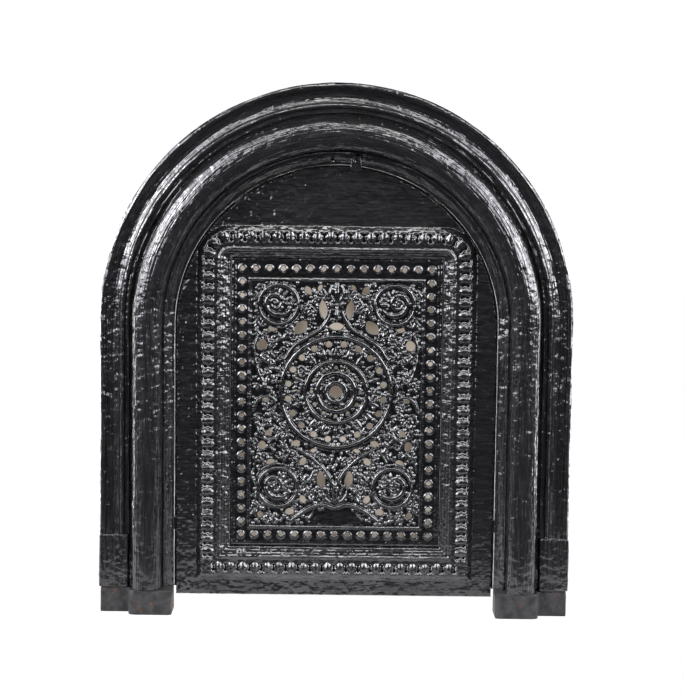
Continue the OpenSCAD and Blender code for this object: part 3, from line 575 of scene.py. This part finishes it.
# %% Heights of the cover plate
cover_half, cover_low, cover_mid = 227.2, 23.0, 411.0
plate_back, plate_front = 0.3, 6.3
border_half, border_low, border_top, corner_r = 199.0, 46.0, 555.0, 48.0
border_slope, border_d, line_in, line_out = 6.0, 11.3, 31.0, 35.5
recess_wide, recess_d, line_rise = 12.0, 4.8, 2.2
window_half, window_low, window_top = 151.0, 94.0, 510.0
cover_step = 1.0

cx, cz, CX, CZ = grid_of(-cover_half - cover_step, cover_half + cover_step,
                         cover_low - cover_step, cover_mid + cover_half + cover_step, cover_step)
cover_in = np.where(CZ > cover_mid, cover_half - np.hypot(CX, CZ - cover_mid),
                    np.minimum(cover_half - np.abs(CX), CZ - cover_low))
aside, above = np.abs(CX) - (border_half - corner_r), CZ - (border_top - corner_r)
border_in = np.minimum(np.minimum(border_half - np.abs(CX), CZ - border_low), border_top - CZ)
border_in = np.where((aside > 0) & (above > 0), corner_r - np.hypot(aside, above), border_in)
cover_high = np.interp(border_in, [0, border_slope, line_out, line_out + recess_wide],
                       [plate_front, border_d, border_d, recess_d])
for at, half, rise in [((line_in + line_out) / 2, (line_out - line_in) / 2, line_rise),
                       (8.6, 1.9, 1.4), (38.2, 1.6, 0.9), (42.0, 1.5, 0.9), (45.8, 1.5, 0.9)]:
    cover_high += rise * dome(((border_in - at) / half) ** 2)
cover_in = np.minimum(cover_in, np.maximum(np.abs(CX) - window_half,
                                           np.maximum(window_low - CZ, CZ - window_top)))
print("cover grid", cover_in.shape)

# %% [markdown]
# The slots stand about 16.6 mm apart, as in the solid. Enamel gathers between them in lumpy
# rungs, which glitter in the photograph.

# %% Slots of the border
slot_inset, slot_pitch, slot_r, slot_reach = 16.5, 16.6, 2.7, 8.6
slot_w, slot_low = border_half - slot_inset, border_low + slot_inset
slot_top, slot_corner = border_top - slot_inset, corner_r - slot_inset
row_half, side_low, side_top = slot_w - slot_corner, slot_low + slot_pitch, slot_top - slot_corner
foot_long = 2 * slot_w - slot_pitch
up_side = int((side_top - side_low) // slot_pitch)
on_row = int(2 * row_half / slot_pitch // 1.09)
on_foot = int(foot_long // slot_pitch)


def round_the_border(shift, corner_turns):
    """Places and turns of the slots (shift 0) or of the rungs between them (shift 0.5)."""
    def shares(count):
        return [(i + shift) / count for i in range(count + (shift == 0))]

    places = [(side * slot_w, side_low + (side_top - side_low) * t, 0)
              for side in (-1, 1) for t in shares(up_side)]
    places += [((t - 0.5) * 2 * row_half, slot_top, 90) for t in shares(on_row)]
    places += [((t - 0.5) * foot_long, slot_low, 90) for t in shares(on_foot)]
    for side in (-1, 1):
        for a in corner_turns:
            px, pz = polar((row_half, side_top), slot_corner, a)
            places.append((side * px, pz, side * a))
    return places


def slot_distance(turn):
    """Distance to two round holes joined by a neck, lying along x before the turn."""
    def distance(gx, gz):
        along, side = turned(gx, gz, turn)
        along = np.abs(along) - slot_reach / 2
        neck = np.maximum(along, np.abs(side) - slot_r / 2)
        return np.minimum(np.hypot(along, side) - slot_r, neck)
    return distance


places = round_the_border(0, (30, 60))
slots = np.full_like(cover_in, 9.0)
for px, pz, turn in places:
    carve(slots, cx, cz, (px, pz), 11, slot_distance(turn))
cover_high += 0.7 * np.exp(-(slots / 1.5) ** 2) * (slots > 0)
print(len(places), "slots")

# %% Rungs between the slots
rung_long, rung_wide, rung_rise = 9.0, 4.8, 3.6
rungs = round_the_border(0.5, (15, 45, 75))
for px, pz, turn in rungs:
    near, gx, gz = patch(cx, cz, (px, pz), 11)
    along, side = turned(gx, gz, turn)
    cover_high[near] += rung_rise * dome((along / rung_long) ** 2 + (side / rung_wide) ** 2)
cover_in = np.minimum(cover_in, slots)
print(len(rungs), "rungs")

# %% Make the cover plate
flat = np.stack([CX.ravel(), np.zeros(CX.size), CZ.ravel()], axis=1)
sandy = layers(flat, [(60, 0.35), (11, 0.2), (4.5, 0.15), (2.3, 0.08)], 51)
sandy += layers(flat * [1 / 7, 1, 1], [(5.0, 0.08), (2.6, 0.05)], 57)
sandy += np.clip(-flat[:, 0] / 120, 0, 1) * lumps(flat, 4.0, 63) * 0.55
cover_high = soften(cover_high, 2) + sandy.reshape(CX.shape)
near_foot = np.clip(1 - (CZ - cover_low) / 16, 0, 1)
cover_high += near_foot * 0.8 * np.maximum(lumps(flat, 7, 71), 0).reshape(CX.shape)
sheet, sheet_faces = cast_sheet(cx, cz, cover_high, cover_in, plate_back, 1.4)
make_piece("cover_casting", sheet, sheet_faces.tolist(), "cover", enamel,
           ["cover_plate"])

# %% [markdown]
# ## The pierced fret
#
# The fret is the showpiece: four corner roundels, a great ring of rings round an open boss,
# and scrolls, leaves and beads wherever there is room. A carver works such a pattern by
# laying rounded rolls and drops of wax on a board. The same is done here: a stroke is a row of
# small domes stamped on the height field, thick or thin as its radius says, and what is
# stamped also counts as metal, so a scroll runs on across an opening.

# %% Fret grid and stamps
grille_half, grille_low, grille_top = 150.6, 94.4, 509.6
field_mid = 300.0
field_half, field_high = 121.0, 176.0
grille_back, grille_d, web_d = -3.7, 3.8, 2.4
fret_step, stamp_step, stamp_margin = 0.8, 0.9, 1.6
fx, fz, FX, FZ = grid_of(-grille_half - fret_step, grille_half + fret_step,
                         grille_low - fret_step, grille_top + fret_step, fret_step)
fz_mid = fz - field_mid
relief = np.zeros_like(FX)
metal = np.full_like(FX, -9.0)
gaps = np.full_like(FX, 9.0)


def stamp(px, pz, radius, rise, solid=False, mirrored=True):
    """Raises a round dome on the relief, and as a rule its mirror on the other half."""
    for sx in sorted({px, -px}) if mirrored else [px]:
        near, gx, gz = patch(fx, fz_mid, (sx, pz), radius + stamp_margin)
        far = np.hypot(gx, gz)
        relief[near] = np.maximum(relief[near], rise * dome((far / radius) ** 2))
        if solid:
            metal[near] = np.maximum(metal[near], radius - far)


def stroke(line, radii, rise, solid=True):
    """Domes along a smooth line through the points; the radius runs through `radii`."""
    line = np.array(line, float)
    ends = np.concatenate([[2 * line[0] - line[1]], line, [2 * line[-1] - line[-2]]])
    smooth = []
    for p0, p1, p2, p3 in zip(ends[:-3], ends[1:-2], ends[2:-1], ends[3:]):
        steps = max(3, int(np.linalg.norm(p2 - p1) / stamp_step))
        for t in np.linspace(0, 1, steps, endpoint=False):
            smooth.append(0.5 * (2 * p1 + (p2 - p0) * t + (2 * p0 - 5 * p1 + 4 * p2 - p3) * t ** 2
                                 + (3 * p1 - p0 - 3 * p2 + p3) * t ** 3))
    smooth.append(line[-1])
    where = np.linspace(0, 1, len(smooth))
    sizes = np.interp(where, np.linspace(0, 1, len(radii)), radii)
    for (px, pz), radius in zip(smooth, sizes):
        stamp(px, pz, radius, rise * min(1, radius / max(radii)) ** 0.6, solid)


def ring(centre, radius, half, rise, solid=False):
    """A round roll, as domes set on a circle."""
    for a in np.linspace(0, 360, int(2 * math.pi * radius / stamp_step) + 2):
        stamp(*polar(centre, radius, a), half, rise, solid)


def curl(centre, r0, r1, start, end, radii, rise):
    """A stroke that winds in."""
    angles = np.linspace(start, end, int(abs(end - start) / 22) + 3)
    spread = np.linspace(r0, r1, len(angles))
    stroke([polar(centre, r, a) for a, r in zip(angles, spread)], radii, rise)


def leaf(root, length, aim, lobes, rise, spread=34, bow=math.degrees(0.12)):
    """A fan of tapered lobes from one root, as an acanthus leaf parts."""
    for i in range(lobes):
        turn = i - (lobes - 1) / 2
        a = aim + turn * spread
        reach = length * (1 - 0.13 * abs(turn))
        stroke([root, polar(root, 0.5 * reach, a + bow * turn), polar(root, reach, a)],
               [1.0, length * 0.15, 0.9], rise, solid=False)


def pierce(px, pz, long, wide, turn):
    """A pointed opening of the given length and width, mirrored as well."""
    r = (long * long + wide * wide) / (4 * wide)
    for side in ((1, -1) if px else (1,)):
        def distance(gx, gz):
            u, v = turned(gx, gz, turn * side)
            return np.maximum(np.hypot(u - r + wide / 2, v), np.hypot(u + r - wide / 2, v)) - r
        carve(gaps, fx, fz_mid, (side * px, pz), long * 0.7, distance)


print("fret grid", FX.shape)

# %% [markdown]
# First the openings, then the great rings and their petals, then the four roundels, and last
# the scrolls that tie them together, all in millimetres from the middle of the field. They are
# given for the right half; the left half is its mirror.

# %% Openings
for opening in [(19, 136, 28, 11, -8), (51, 110, 24, 15, 42), (91, 109, 13, 10, 70),
                (106, 85, 16, 13, 20), (41, 163, 13, 9, -30), (24, 167, 10, 6, 30),
                (20, -109, 26, 11, -8), (57, -57, 14, 9, 60), (31, -67, 11, 6, 75),
                (105, -60, 13, 11, 0), (46, -83, 13, 9, 30), (93, -84, 13, 8, 64),
                (46, -138, 13, 9, -20), (65, -156, 13, 10, 70), (107, -161, 11, 8, 0),
                (101, 8, 12, 9, 0), (96, -42, 11, 8, 50), (0, 112, 22, 11, 90)]:
    pierce(*opening)
rosette, petals, light_at, light_r = (0.0, 18.0), 20, 69.0, 4.4
petal_turn = 360 / petals


def clock(at, degrees):
    """A place on the rosette, from its middle and in degrees from its top."""
    a = math.radians(degrees)
    return rosette[0] + at * math.sin(a), rosette[1] + at * math.cos(a)


round_holes = [(9.0, 0, 0)] + [(2.6, 35, i * 30) for i in range(12)]
round_holes += [(light_r, light_at, (i + 0.5) * petal_turn) for i in range(petals)]
for radius, at, hour in round_holes:
    carve(gaps, fx, fz_mid, clock(at, hour), radius + 4,
          lambda gx, gz: np.hypot(gx, gz) - radius)
print("open share of the field:", round(float((gaps < 0).mean()), 3))

# %% Great rings
for radius, half, rise in [(79, 3.6, 4.6), (84.4, 1.3, 2.0), (44, 3.2, 4.4), (49.0, 1.1, 1.6),
                           (27.5, 4.0, 4.4), (22.2, 1.3, 2.0), (14.0, 3.4, 3.6)]:
    ring(rosette, radius, half, rise)
for i in range(petals // 2 + 1):
    hour = i * petal_turn
    stroke([clock(at, hour) for at in (49, 57, 64)], [1.4, 3.1, 1.6], 3.0)
    for turn, at, size in [(0, 71.5, 2.7), (4.6, 64, 1.6), (-4.6, 64, 1.6), (9, 50.5, 2.0),
                           (9, 56, 1.5), (4, 76, 1.4), (-4, 76, 1.4)]:
        stamp(*clock(at, hour + turn), size, size * 0.95)
    px, pz = clock(light_at, hour + petal_turn / 2)
    for light in [(px, pz), (-px, pz)]:
        ring(light, light_r + 1.2, 1.2, 1.9)
for i in range(12):
    for at, turn, size, rise in [(35, 0, 3.0, 2.6), (38.6, -8.5, 1.5, 1.5),
                                 (38.6, 8.5, 1.5, 1.5), (18.2, 0, 1.5, 1.3)]:
        stamp(*clock(at, i * 30 + 15 + turn), size, rise)
print("rosette of", petals, "petals")

# %% [markdown]
# Each roundel holds one volute. It starts thin at the foot of the roundel, swells, and winds in
# to a bead, and a fan of four lobes springs from its back. The enamel pools on the swollen part.

# %% Roundels
for mid_x, mid_z, foot_turns in [(83, 143, (150, 330)), (82, -120, (20, 170))]:
    ring((mid_x, mid_z), 28, 3.1, 4.4, True)
    ring((mid_x, mid_z), 23.6, 1.1, 1.6, True)
    volute = []
    for a in range(200, 901, 20):
        t, shift = (a - 200) / 700, min(1, (a - 200) / 220)
        middle = (mid_x + 5 * shift, mid_z + 2 * shift)
        volute.append(polar(middle, 19.5 - 17 * t ** 0.75, a))
    stroke(volute, [1.4, 4.6, 4.0, 2.8, 2.3, 2.0, 1.7], 4.2)
    stamp(mid_x + 5, mid_z + 2, 2.6, 3.4)
    for a in (95, 125, 155, 185):
        stroke([polar((mid_x - 1, mid_z + 2), far, a) for far in (9, 15, 20.5)],
               [1.2, 2.7, 1.3], 3.2)
    curl((mid_x, mid_z), 34, 32, *foot_turns, [1.2, 1.8, 1.2], 2.4)
print("metal on", round(float((metal > 0).mean()), 3), "of the fret")

# %% Scrolls and leaves
for line, radii, rise in [
        ([(8, 146), (10, 128), (22, 109), (42, 96), (60, 84), (73, 66)], [2.0, 2.7, 3.0, 2.3], 4.2),
        ([(12, 152), (29, 152), (37, 140), (33, 124)], [1.4, 1.8, 1.4], 2.8),
        ([(2, -116), (13, -97), (31, -79), (48, -68), (60, -62)], [2.6, 2.5, 1.9], 4.2),
        ([(0, -150), (18, -145), (40, -152), (62, -168)], [3.0, 3.2, 2.2], 4.4),
        ([(30, -96), (36, -108), (47, -116)], [1.4, 1.8, 1.3], 2.6),
        ([(111, 99), (117, 78), (113, 52), (104, 33), (95, 35), (97, 46)], [1.9, 2.6, 2.3, 1.7], 4),
        ([(72, 97), (86, 90), (94, 76), (88, 68)], [1.4, 1.8, 1.4], 2.8),
        ([(118, -11), (112, 5), (98, 11), (86, 5), (86, -5), (94, -8)], [1.9, 2.6, 2.2, 1.6], 4),
        ([(113, -30), (109, -43), (98, -51), (86, -48), (82, -40)], [1.6, 2.0, 1.5], 3.0),
        ([(117, -96), (113, -78), (101, -72), (90, -72)], [1.4, 1.8, 1.3], 2.6),
        ([(66, -70), (74, -84), (72, -92)], [1.3, 1.6, 1.2], 2.4),
        ([(40, -168), (33, -160), (31, -150)], [1.3, 1.6, 1.2], 2.4)]:
    stroke(line, radii, rise)
curl((104, -28), 8, 2, 90, -200, [1.3, 1.7, 1.5], 2.6)
curl((60, 130), 7, 2, -60, 260, [1.2, 1.6, 1.5], 2.6)
curl((100, -142), 8, 2, 120, -150, [1.2, 1.6, 1.5], 2.4)
for root, long, aim, lobes in [
        ((44, 128), 15, 95, 5), ((30, 96), 11, -60, 3), ((66, 96), 12, 40, 3),
        ((112, 118), 11, -60, 3), ((100, 60), 12, 120, 4), ((110, 28), 11, -30, 3),
        ((78, -18), 12, -20, 3), ((112, -66), 10, 80, 3), ((70, -72), 12, 60, 4),
        ((28, -128), 14, -75, 5), ((8, -84), 13, 70, 4), ((52, -150), 11, 20, 3),
        ((92, -162), 12, 10, 4), ((26, 168), 12, -150, 3), ((60, 168), 11, -20, 3),
        ((60, -100), 10, 200, 3), ((108, -98), 9, 100, 3), ((14, 96), 10, 70, 3)]:
    leaf(root, long, aim, lobes, 2.7)
print("flat ground left:", round(float((relief == 0).mean()), 2))

# %% Bud, foot leaf, mound and frame
for line, radii, rise in [
        ([(0, 172), (0, 160), (0, 149)], [3.0, 5.0, 2.2], 4.4),
        ([(7, 170), (9, 158), (4, 148)], [1.8, 3.0, 1.6], 3.6),
        ([(0, 143), (5, 143), (11, 145)], [2.2, 2.0, 1.6], 3.4),
        ([(0, 139), (0, 128), (0, 119)], [2.2, 3.6, 1.4], 3.8),
        ([(0, -112), (0, -126), (0, -142)], [2.0, 5.4, 2.4], 4.6),
        ([(10, -118), (9, -130), (3, -141)], [1.6, 3.2, 1.6], 3.6),
        ([(18, -124), (15, -134), (6, -142)], [1.2, 2.6, 1.4], 3.0)]:
    stroke(line, radii, rise)
mound_r, mound_drop, mound_rise, frame_half = 57, field_high + 32, 2.6, 2.25
mound = mound_r - np.hypot(FX, FZ - field_mid + mound_drop)
mound_high = mound_rise * np.sqrt(np.clip(mound / 12, 0, 1)) * (FZ - field_mid > -field_high)
relief = np.maximum(relief, mound_high)
edge_in = np.minimum(field_half - np.abs(FX), field_high - np.abs(FZ - field_mid))
frame_band = np.clip(1 - np.abs(edge_in + frame_half) / frame_half, 0, 1)
print("relief up to", round(float(relief.max()), 1), "mm")

# %% [markdown]
# Between the scrolls the ground was filled, so that no flat place is left to show a cold shut
# in the casting. Small sprigs are thrown at random with a fixed seed and kept where there is
# bare ground, and then single drops go wherever there is still room.

# %% Filled ground
filler = np.random.default_rng(7)


def bare(px, pz, room):
    """Is this low ground, away from the openings and off the mound?"""
    i, j = np.searchsorted(fz_mid, pz), np.searchsorted(fx, px)
    smooth_foot = math.hypot(px, pz + mound_drop) < mound_r + 2
    return relief[i, j] < 1.2 and gaps[i, j] > room and not smooth_foot


for px, pz, aim in zip(filler.uniform(4, 116, 420), filler.uniform(-170, 170, 420),
                       filler.uniform(0, 360, 420)):
    tip = polar((px, pz), 6, aim)
    if bare(px, pz, 1.5) and abs(tip[0]) < 118 and abs(tip[1]) < 173 and bare(*tip, 1.5):
        leaf((px, pz), 10.5, aim, 3, 3.4, 46)
for px, pz, size in zip(filler.uniform(-119, 119, 2600), filler.uniform(-174, 174, 2600),
                        filler.uniform(1.8, 3.0, 2600)):
    if bare(px, pz, size * 0.4):
        stamp(px, pz, size, size * 1.1, mirrored=False)
print("ground still bare:", round(float(((relief < 0.3) & (gaps > 0)).mean()), 2))

# %% Eyelets and margin
eyelet_inset, eyelet_pitch, eyelet_r = 16.0, 18.6, 3.4
eye_w, eye_h = grille_half - eyelet_inset, (grille_top - grille_low) / 2 - eyelet_inset
eye_mid = (grille_top + grille_low) / 2
across_n, up_n = int(2 * eye_w // eyelet_pitch), int(2 * eye_h // eyelet_pitch)
eyelets = [((2 * i / across_n - 1) * eye_w, s * eye_h)
           for i in range(across_n + 1) for s in (-1, 1)]
eyelets += [(s * eye_w, (2 * i / up_n - 1) * eye_h) for i in range(1, up_n) for s in (-1, 1)]
holes = np.full_like(FX, 9.0)
for px, pz in eyelets:
    carve(holes, fx, fz, (px, eye_mid + pz), 8, lambda gx, gz: np.hypot(gx, gz) - eyelet_r)
border = np.minimum(grille_half - np.abs(FX), np.minimum(FZ - grille_low, grille_top - FZ))
inside = np.where(edge_in < 0, holes, np.minimum(np.maximum(gaps, metal), holes))
inside = np.minimum(inside, border)
fret_high = np.where(edge_in > 0, web_d + 1.2 * relief, grille_d)
fret_high = np.maximum(fret_high, grille_d + 2.0 * np.sqrt(frame_band) * (edge_in < 0))
fret_high += 1.5 * np.exp(-((holes - 1.2) / 1.3) ** 2) * (holes > 0)
fret_high += 1.3 * np.clip(1 - np.abs(border - 4.2) / 3.2, 0, 1) ** 0.5
print(len(eyelets), "eyelets")

# %% Make the fret
spots = np.stack([FX.ravel(), np.zeros(FX.size), FZ.ravel()], axis=1)
fret_high = soften(fret_high, 1)
fret_high += layers(spots, [(9, 0.22), (4, 0.2), (2.2, 0.12)], 83).reshape(FX.shape)
fret_points, fret_faces = cast_sheet(fx, fz, fret_high, inside, grille_back, 1.2)
# The attribute passed here marks the low ground for painted shade in the pooled enamel.
make_piece("fret_casting", fret_points, fret_faces.tolist(), "cover",
           pooled_enamel, ["fret_grille"],
           out_of_painted_shade=np.clip((fret_points[:, 1] - web_d - 0.2) / 2.2, 0, 1))

# %% [markdown]
# ## The small castings
#
# The plinth blocks, the feet, the catch and its pins keep the shape of the solids. Each is
# copied, remeshed into small even cells, rounded a little, and given lumps, because a sharp
# machined edge would look wrong beside the rough castings.

# %% Recast a node
def recast(name, body, material, cell, amounts, seed, rounds=2, flat_floor=False):
    copy = add_object(name + "_recast", nodes[name].data.copy())
    copy.modifiers.new("cells", "REMESH").voxel_size = cell * MM
    smooth = copy.modifiers.new("round", "SMOOTH")
    smooth.factor, smooth.iterations = 0.5, rounds
    shape = copy.evaluated_get(bpy.context.evaluated_depsgraph_get())
    fine = bpy.data.meshes.new_from_object(shape)
    copy.modifiers.clear()
    copy.data = fine
    count = len(fine.vertices)
    place, normal = np.zeros((count, 3)), np.zeros((count, 3))
    fine.vertices.foreach_get("co", place.ravel())
    fine.vertex_normals.foreach_get("vector", normal.ravel())
    push = layers(place / MM, amounts, seed)
    low = place[:, 2].min()
    if flat_floor:
        push = np.where(place[:, 2] < low + 1.5 * MM, 0, push)
    place = place + normal * push[:, None] * MM
    place[:, 2] = np.maximum(place[:, 2], low)
    fine.vertices.foreach_set("co", place.ravel())
    fine.polygons.foreach_set("use_smooth", [True] * len(fine.polygons))
    fine.materials.clear()
    fine.materials.append(material)
    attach(copy, body)
    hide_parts(name)
    print(name, count, "points")


foot_lumps = [(22, 0.35), (6, 0.18), (2.6, 0.08)]
for name in ["left_foot", "right_foot"]:
    recast(name, "surround", foot_iron, 1.4, foot_lumps, 101, 2, True)
block_lumps = [(20, 0.4), (6, 0.3), (2.8, 0.14)]
for name in ["left_plinth_block", "right_plinth_block"]:
    recast(name, "surround", arch_enamel, 1.2, block_lumps, 109)
for name, body in [("stop_pin", "surround"), ("catch_rivet", "surround"), ("crown_catch", "catch")]:
    recast(name, body, enamel, 0.5, [(5, 0.25), (2, 0.12)], 127, 1)

# %% Finishes for the fittings behind
for name in nodes:
    if any(word in name for word in ("screws", "bolts", "nuts", "rivets", "pin")):
        finish = screw_steel
    elif any(word in name for word in ("bracket", "bar", "hook")):
        finish = black_iron
    else:
        finish = enamel
    nodes[name].data.materials.clear()
    nodes[name].data.materials.append(finish)
print("finished", len(nodes), "nodes")

# %% [markdown]
# ## Floor, backdrop and light
#
# The picture was taken on a white paper sweep. The sweep is one long sheet: it lies under the
# object and stands up far behind it. Rays from the camera see plain white paper, reflections
# see a mix of that and of the paper as it is lit, and everything else sees ordinary paper, so a
# faint shadow stays. In reflections the white fades out just in front of the object and past
# its sides and top, and there the paper's colour is painted down to a dark grey: a painted
# shade that stands for the unlit floor and room beyond, and that dark is what gives the enamel
# its depth. The light comes from two tall windows, high on the left and on the right, each
# with a small softbox before it, from a long softbox overhead that draws the grey line along
# the shoulder of the great roll, and from a weak fill beside the camera. Two low strips beside
# the object and a little behind it draw the bright line down the outer flank of each moulding.

# %% Paper sweep
bpy.context.scene.view_settings.view_transform = "Standard"
sweep_white, glossy_white = 0.96, 0.6
paper_material, tree, where = new_material("white_paper_sweep")
path = add(tree, "LightPath").outputs
place = add(tree, "SeparateXYZ", {"Vector": where}).outputs
lit_half = add(tree, "MapRange", {"Value": place["Y"], "From Min": 0.0, "From Max": 1.2,
                                  "To Min": 1.6, "To Max": 5.0})
off_middle = add(tree, "Math", {0: place["X"]}, operation="ABSOLUTE")
past_side = add(tree, "Math", {0: off_middle, 1: lit_half}, operation="SUBTRACT")
past_front = add(tree, "Math", {0: place["Y"], 1: -1.0, 2: -0.03}, operation="MULTIPLY_ADD")
past_top = add(tree, "Math", {0: place["Z"], 1: 4.0}, operation="SUBTRACT")
past = add(tree, "Math", {0: past_side, 1: past_front}, operation="MAXIMUM")
past = add(tree, "Math", {0: past, 1: past_top}, operation="MAXIMUM")
fade = add(tree, "MapRange", {"Value": past, "From Min": 0.0, "From Max": 0.25,
                              "To Min": 1.0, "To Max": 0.0})
mirrored = add(tree, "Math", {0: path["Is Glossy Ray"], 1: path["Is Transmission Ray"]},
               operation="MAXIMUM")
faded = add(tree, "Math", {0: mirrored, 1: fade}, operation="MULTIPLY")
glossy_share = add(tree, "Math", {0: faded, 1: glossy_white}, operation="MULTIPLY")
plain = add(tree, "MapRange", {"Value": fade, "To Min": 1.0, "To Max": sweep_white})
camera_share = add(tree, "Math", {0: path["Is Camera Ray"], 1: plain}, operation="MULTIPLY")
share = add(tree, "Math", {0: camera_share, 1: glossy_share}, operation="MAXIMUM")
# Painted shade: the paper's colour runs from near white by the object to dark grey where it fades,
# for the unlit floor and room in reflections.
paper_white_to_painted_dark = add(tree, "ValToRGB", {"Fac": fade}, stops=[(0.0, "#2c2c2e"), (0.9, "#f2f2f2")])
paper = add(tree, "BsdfDiffuse", {"Color": paper_white_to_painted_dark})
white = add(tree, "Emission", {"Color": paint("#ffffff")})
paper_mix = add(tree, "MixShader", {0: share, 1: paper, 2: white})
add(tree, "OutputMaterial", {"Surface": paper_mix})

half_wide, far_front, far_back, bend, sweep_top = 9.0, -16.0, 3.6, 0.8, 6.5
profile = [(far_front, 0.0), (far_back - bend, 0.0)]
profile += arc((far_back - bend, bend), bend, -80, 0, 9) + [(far_back, sweep_top)]
sweep_points = [(side * half_wide, y, z) for y, z in profile for side in (-1, 1)]
sweep_faces = [(2 * i, 2 * i + 1, 2 * i + 3, 2 * i + 2) for i in range(len(profile) - 1)]
sweep = mesh_object("paper_sweep", sweep_points, sweep_faces, paper_material)
print("paper sweep, standing", far_back, "m behind")

# %% [markdown]
# Just behind the cover the sweep lies in the object's own shade. It shows as tan and brown
# through the openings of the fret, and as next to black through the slots and the gap round
# the cover. A small card stands there with that shade painted on it: a glowing mottled tan for
# the shade behind the fret, and a painted deeper shade, next to black, towards its edges. It is
# narrower than the surround, so it shows only through the openings. Only the camera sees it,
# and only from the front.

# %% Card with painted shade
card_half, card_low, card_spring, card_behind = 0.236, 0.03, 0.411, 0.016
field_at, field_taller, tone_from, tone_to = 0.302, 0.057, 0.150, 0.166
card_material, tree, where = new_material("painted_shade_card_material")
apart = add(tree, "SeparateXYZ", {"Vector": where}).outputs
# Painted shade: the card glows, to the camera only, in a mottled tan for the shaded sweep behind
# the fret, and next to black towards its edges for the deeper shade by the surround.
cloud = add(tree, "TexNoise", {"Vector": where, "Scale": 1 / 0.07, "Detail": 0.0})
painted_shade_tan = add(tree, "ValToRGB", {"Fac": cloud}, stops=[(0.35, "#756a5e"), (0.65, "#b9afa2")])
off_x = add(tree, "Math", {0: apart["X"]}, operation="ABSOLUTE")
up_from = add(tree, "Math", {0: apart["Z"], 1: field_at}, operation="SUBTRACT")
off_z = add(tree, "Math", {0: up_from}, operation="ABSOLUTE")
same_z = add(tree, "Math", {0: off_z, 1: field_taller}, operation="SUBTRACT")
reach = add(tree, "Math", {0: off_x, 1: same_z}, operation="MAXIMUM")
deep = add(tree, "MapRange", {"Value": reach, "From Min": tone_from, "From Max": tone_to})
tone = add(tree, "Mix", {0: deep, 6: painted_shade_tan, 7: paint("#14110f")}, data_type="RGBA").outputs[2]
shade = add(tree, "Emission", {"Color": tone})
nothing = add(tree, "BsdfTransparent")
ray = add(tree, "LightPath").outputs
side = add(tree, "NewGeometry").outputs
seen = add(tree, "Math", {0: ray["Is Camera Ray"], 1: side["Backfacing"]},
           operation="SUBTRACT", use_clamp=True)
one_sided = add(tree, "MixShader", {0: seen, 1: nothing, 2: shade})
add(tree, "OutputMaterial", {"Surface": one_sided})

card_y = wall_y * MM + card_behind
card_rim = [(-card_half, card_low), (card_half, card_low), (card_half, card_spring)]
card_rim += arc((0.0, card_spring), card_half, 6, 174, 29) + [(-card_half, card_spring)]
card = mesh_object("painted_shade_card", [(x, card_y, z) for x, z in card_rim],
                   [tuple(range(len(card_rim)))], card_material)
print("buff card", round(card_behind / MM), "mm behind the wall plane")

# %% Room
room_grey = "#34343a"
world = bpy.data.worlds.new("dim_studio_room")
bpy.context.scene.world = world
world.use_nodes = True
room = world.node_tree
room.nodes.clear()
dim = add(room, "Background", {"Color": paint(room_grey)})
pale = add(room, "Background", {"Color": paint("#fafafa")})
ray = add(room, "LightPath").outputs
through = add(room, "Math", {0: ray["Is Camera Ray"], 1: ray["Is Transmission Ray"]},
              operation="MAXIMUM")
room_mix = add(room, "MixShader", {0: through, 1: dim, 2: pale})
add(room, "OutputWorld", {"Surface": room_mix})
print("room tone in reflections", room_grey)

# %% Softboxes
middle = (0.0, 0.0, 0.4)


def softbox(name, at, size, power, colour="#ffffff"):
    """A soft lamp, with its size in metres and its power in watts."""
    lamp = bpy.data.lights.new(name, "AREA")
    lamp.shape = "RECTANGLE"
    lamp.size, lamp.size_y = size
    lamp.energy = power
    lamp.color = paint(colour)[:3]
    point_at(add_object(name, lamp), at, middle)


softbox("left_window", (-2.4, -1.6, 1.75), (3.0, 2.6), 260, "#f6f6ff")
softbox("left_softbox", (-1.9, -1.0, 1.3), (0.5, 0.9), 46)
softbox("right_window", (2.4, -1.5, 1.75), (3.0, 2.6), 260, "#f6f6ff")
softbox("right_softbox", (1.8, -0.8, 1.15), (0.3, 0.9), 26)
softbox("top_softbox", (0.0, -1.0, 2.3), (2.2, 0.6), 50)
softbox("left_low_strip", (-1.25, 0.5, 0.45), (0.8, 0.9), 24)
softbox("right_low_strip", (1.25, 0.5, 0.45), (0.8, 0.9), 24)
softbox("fill_card", (0.2, -3.1, 0.9), (1.8, 1.4), 1.0)
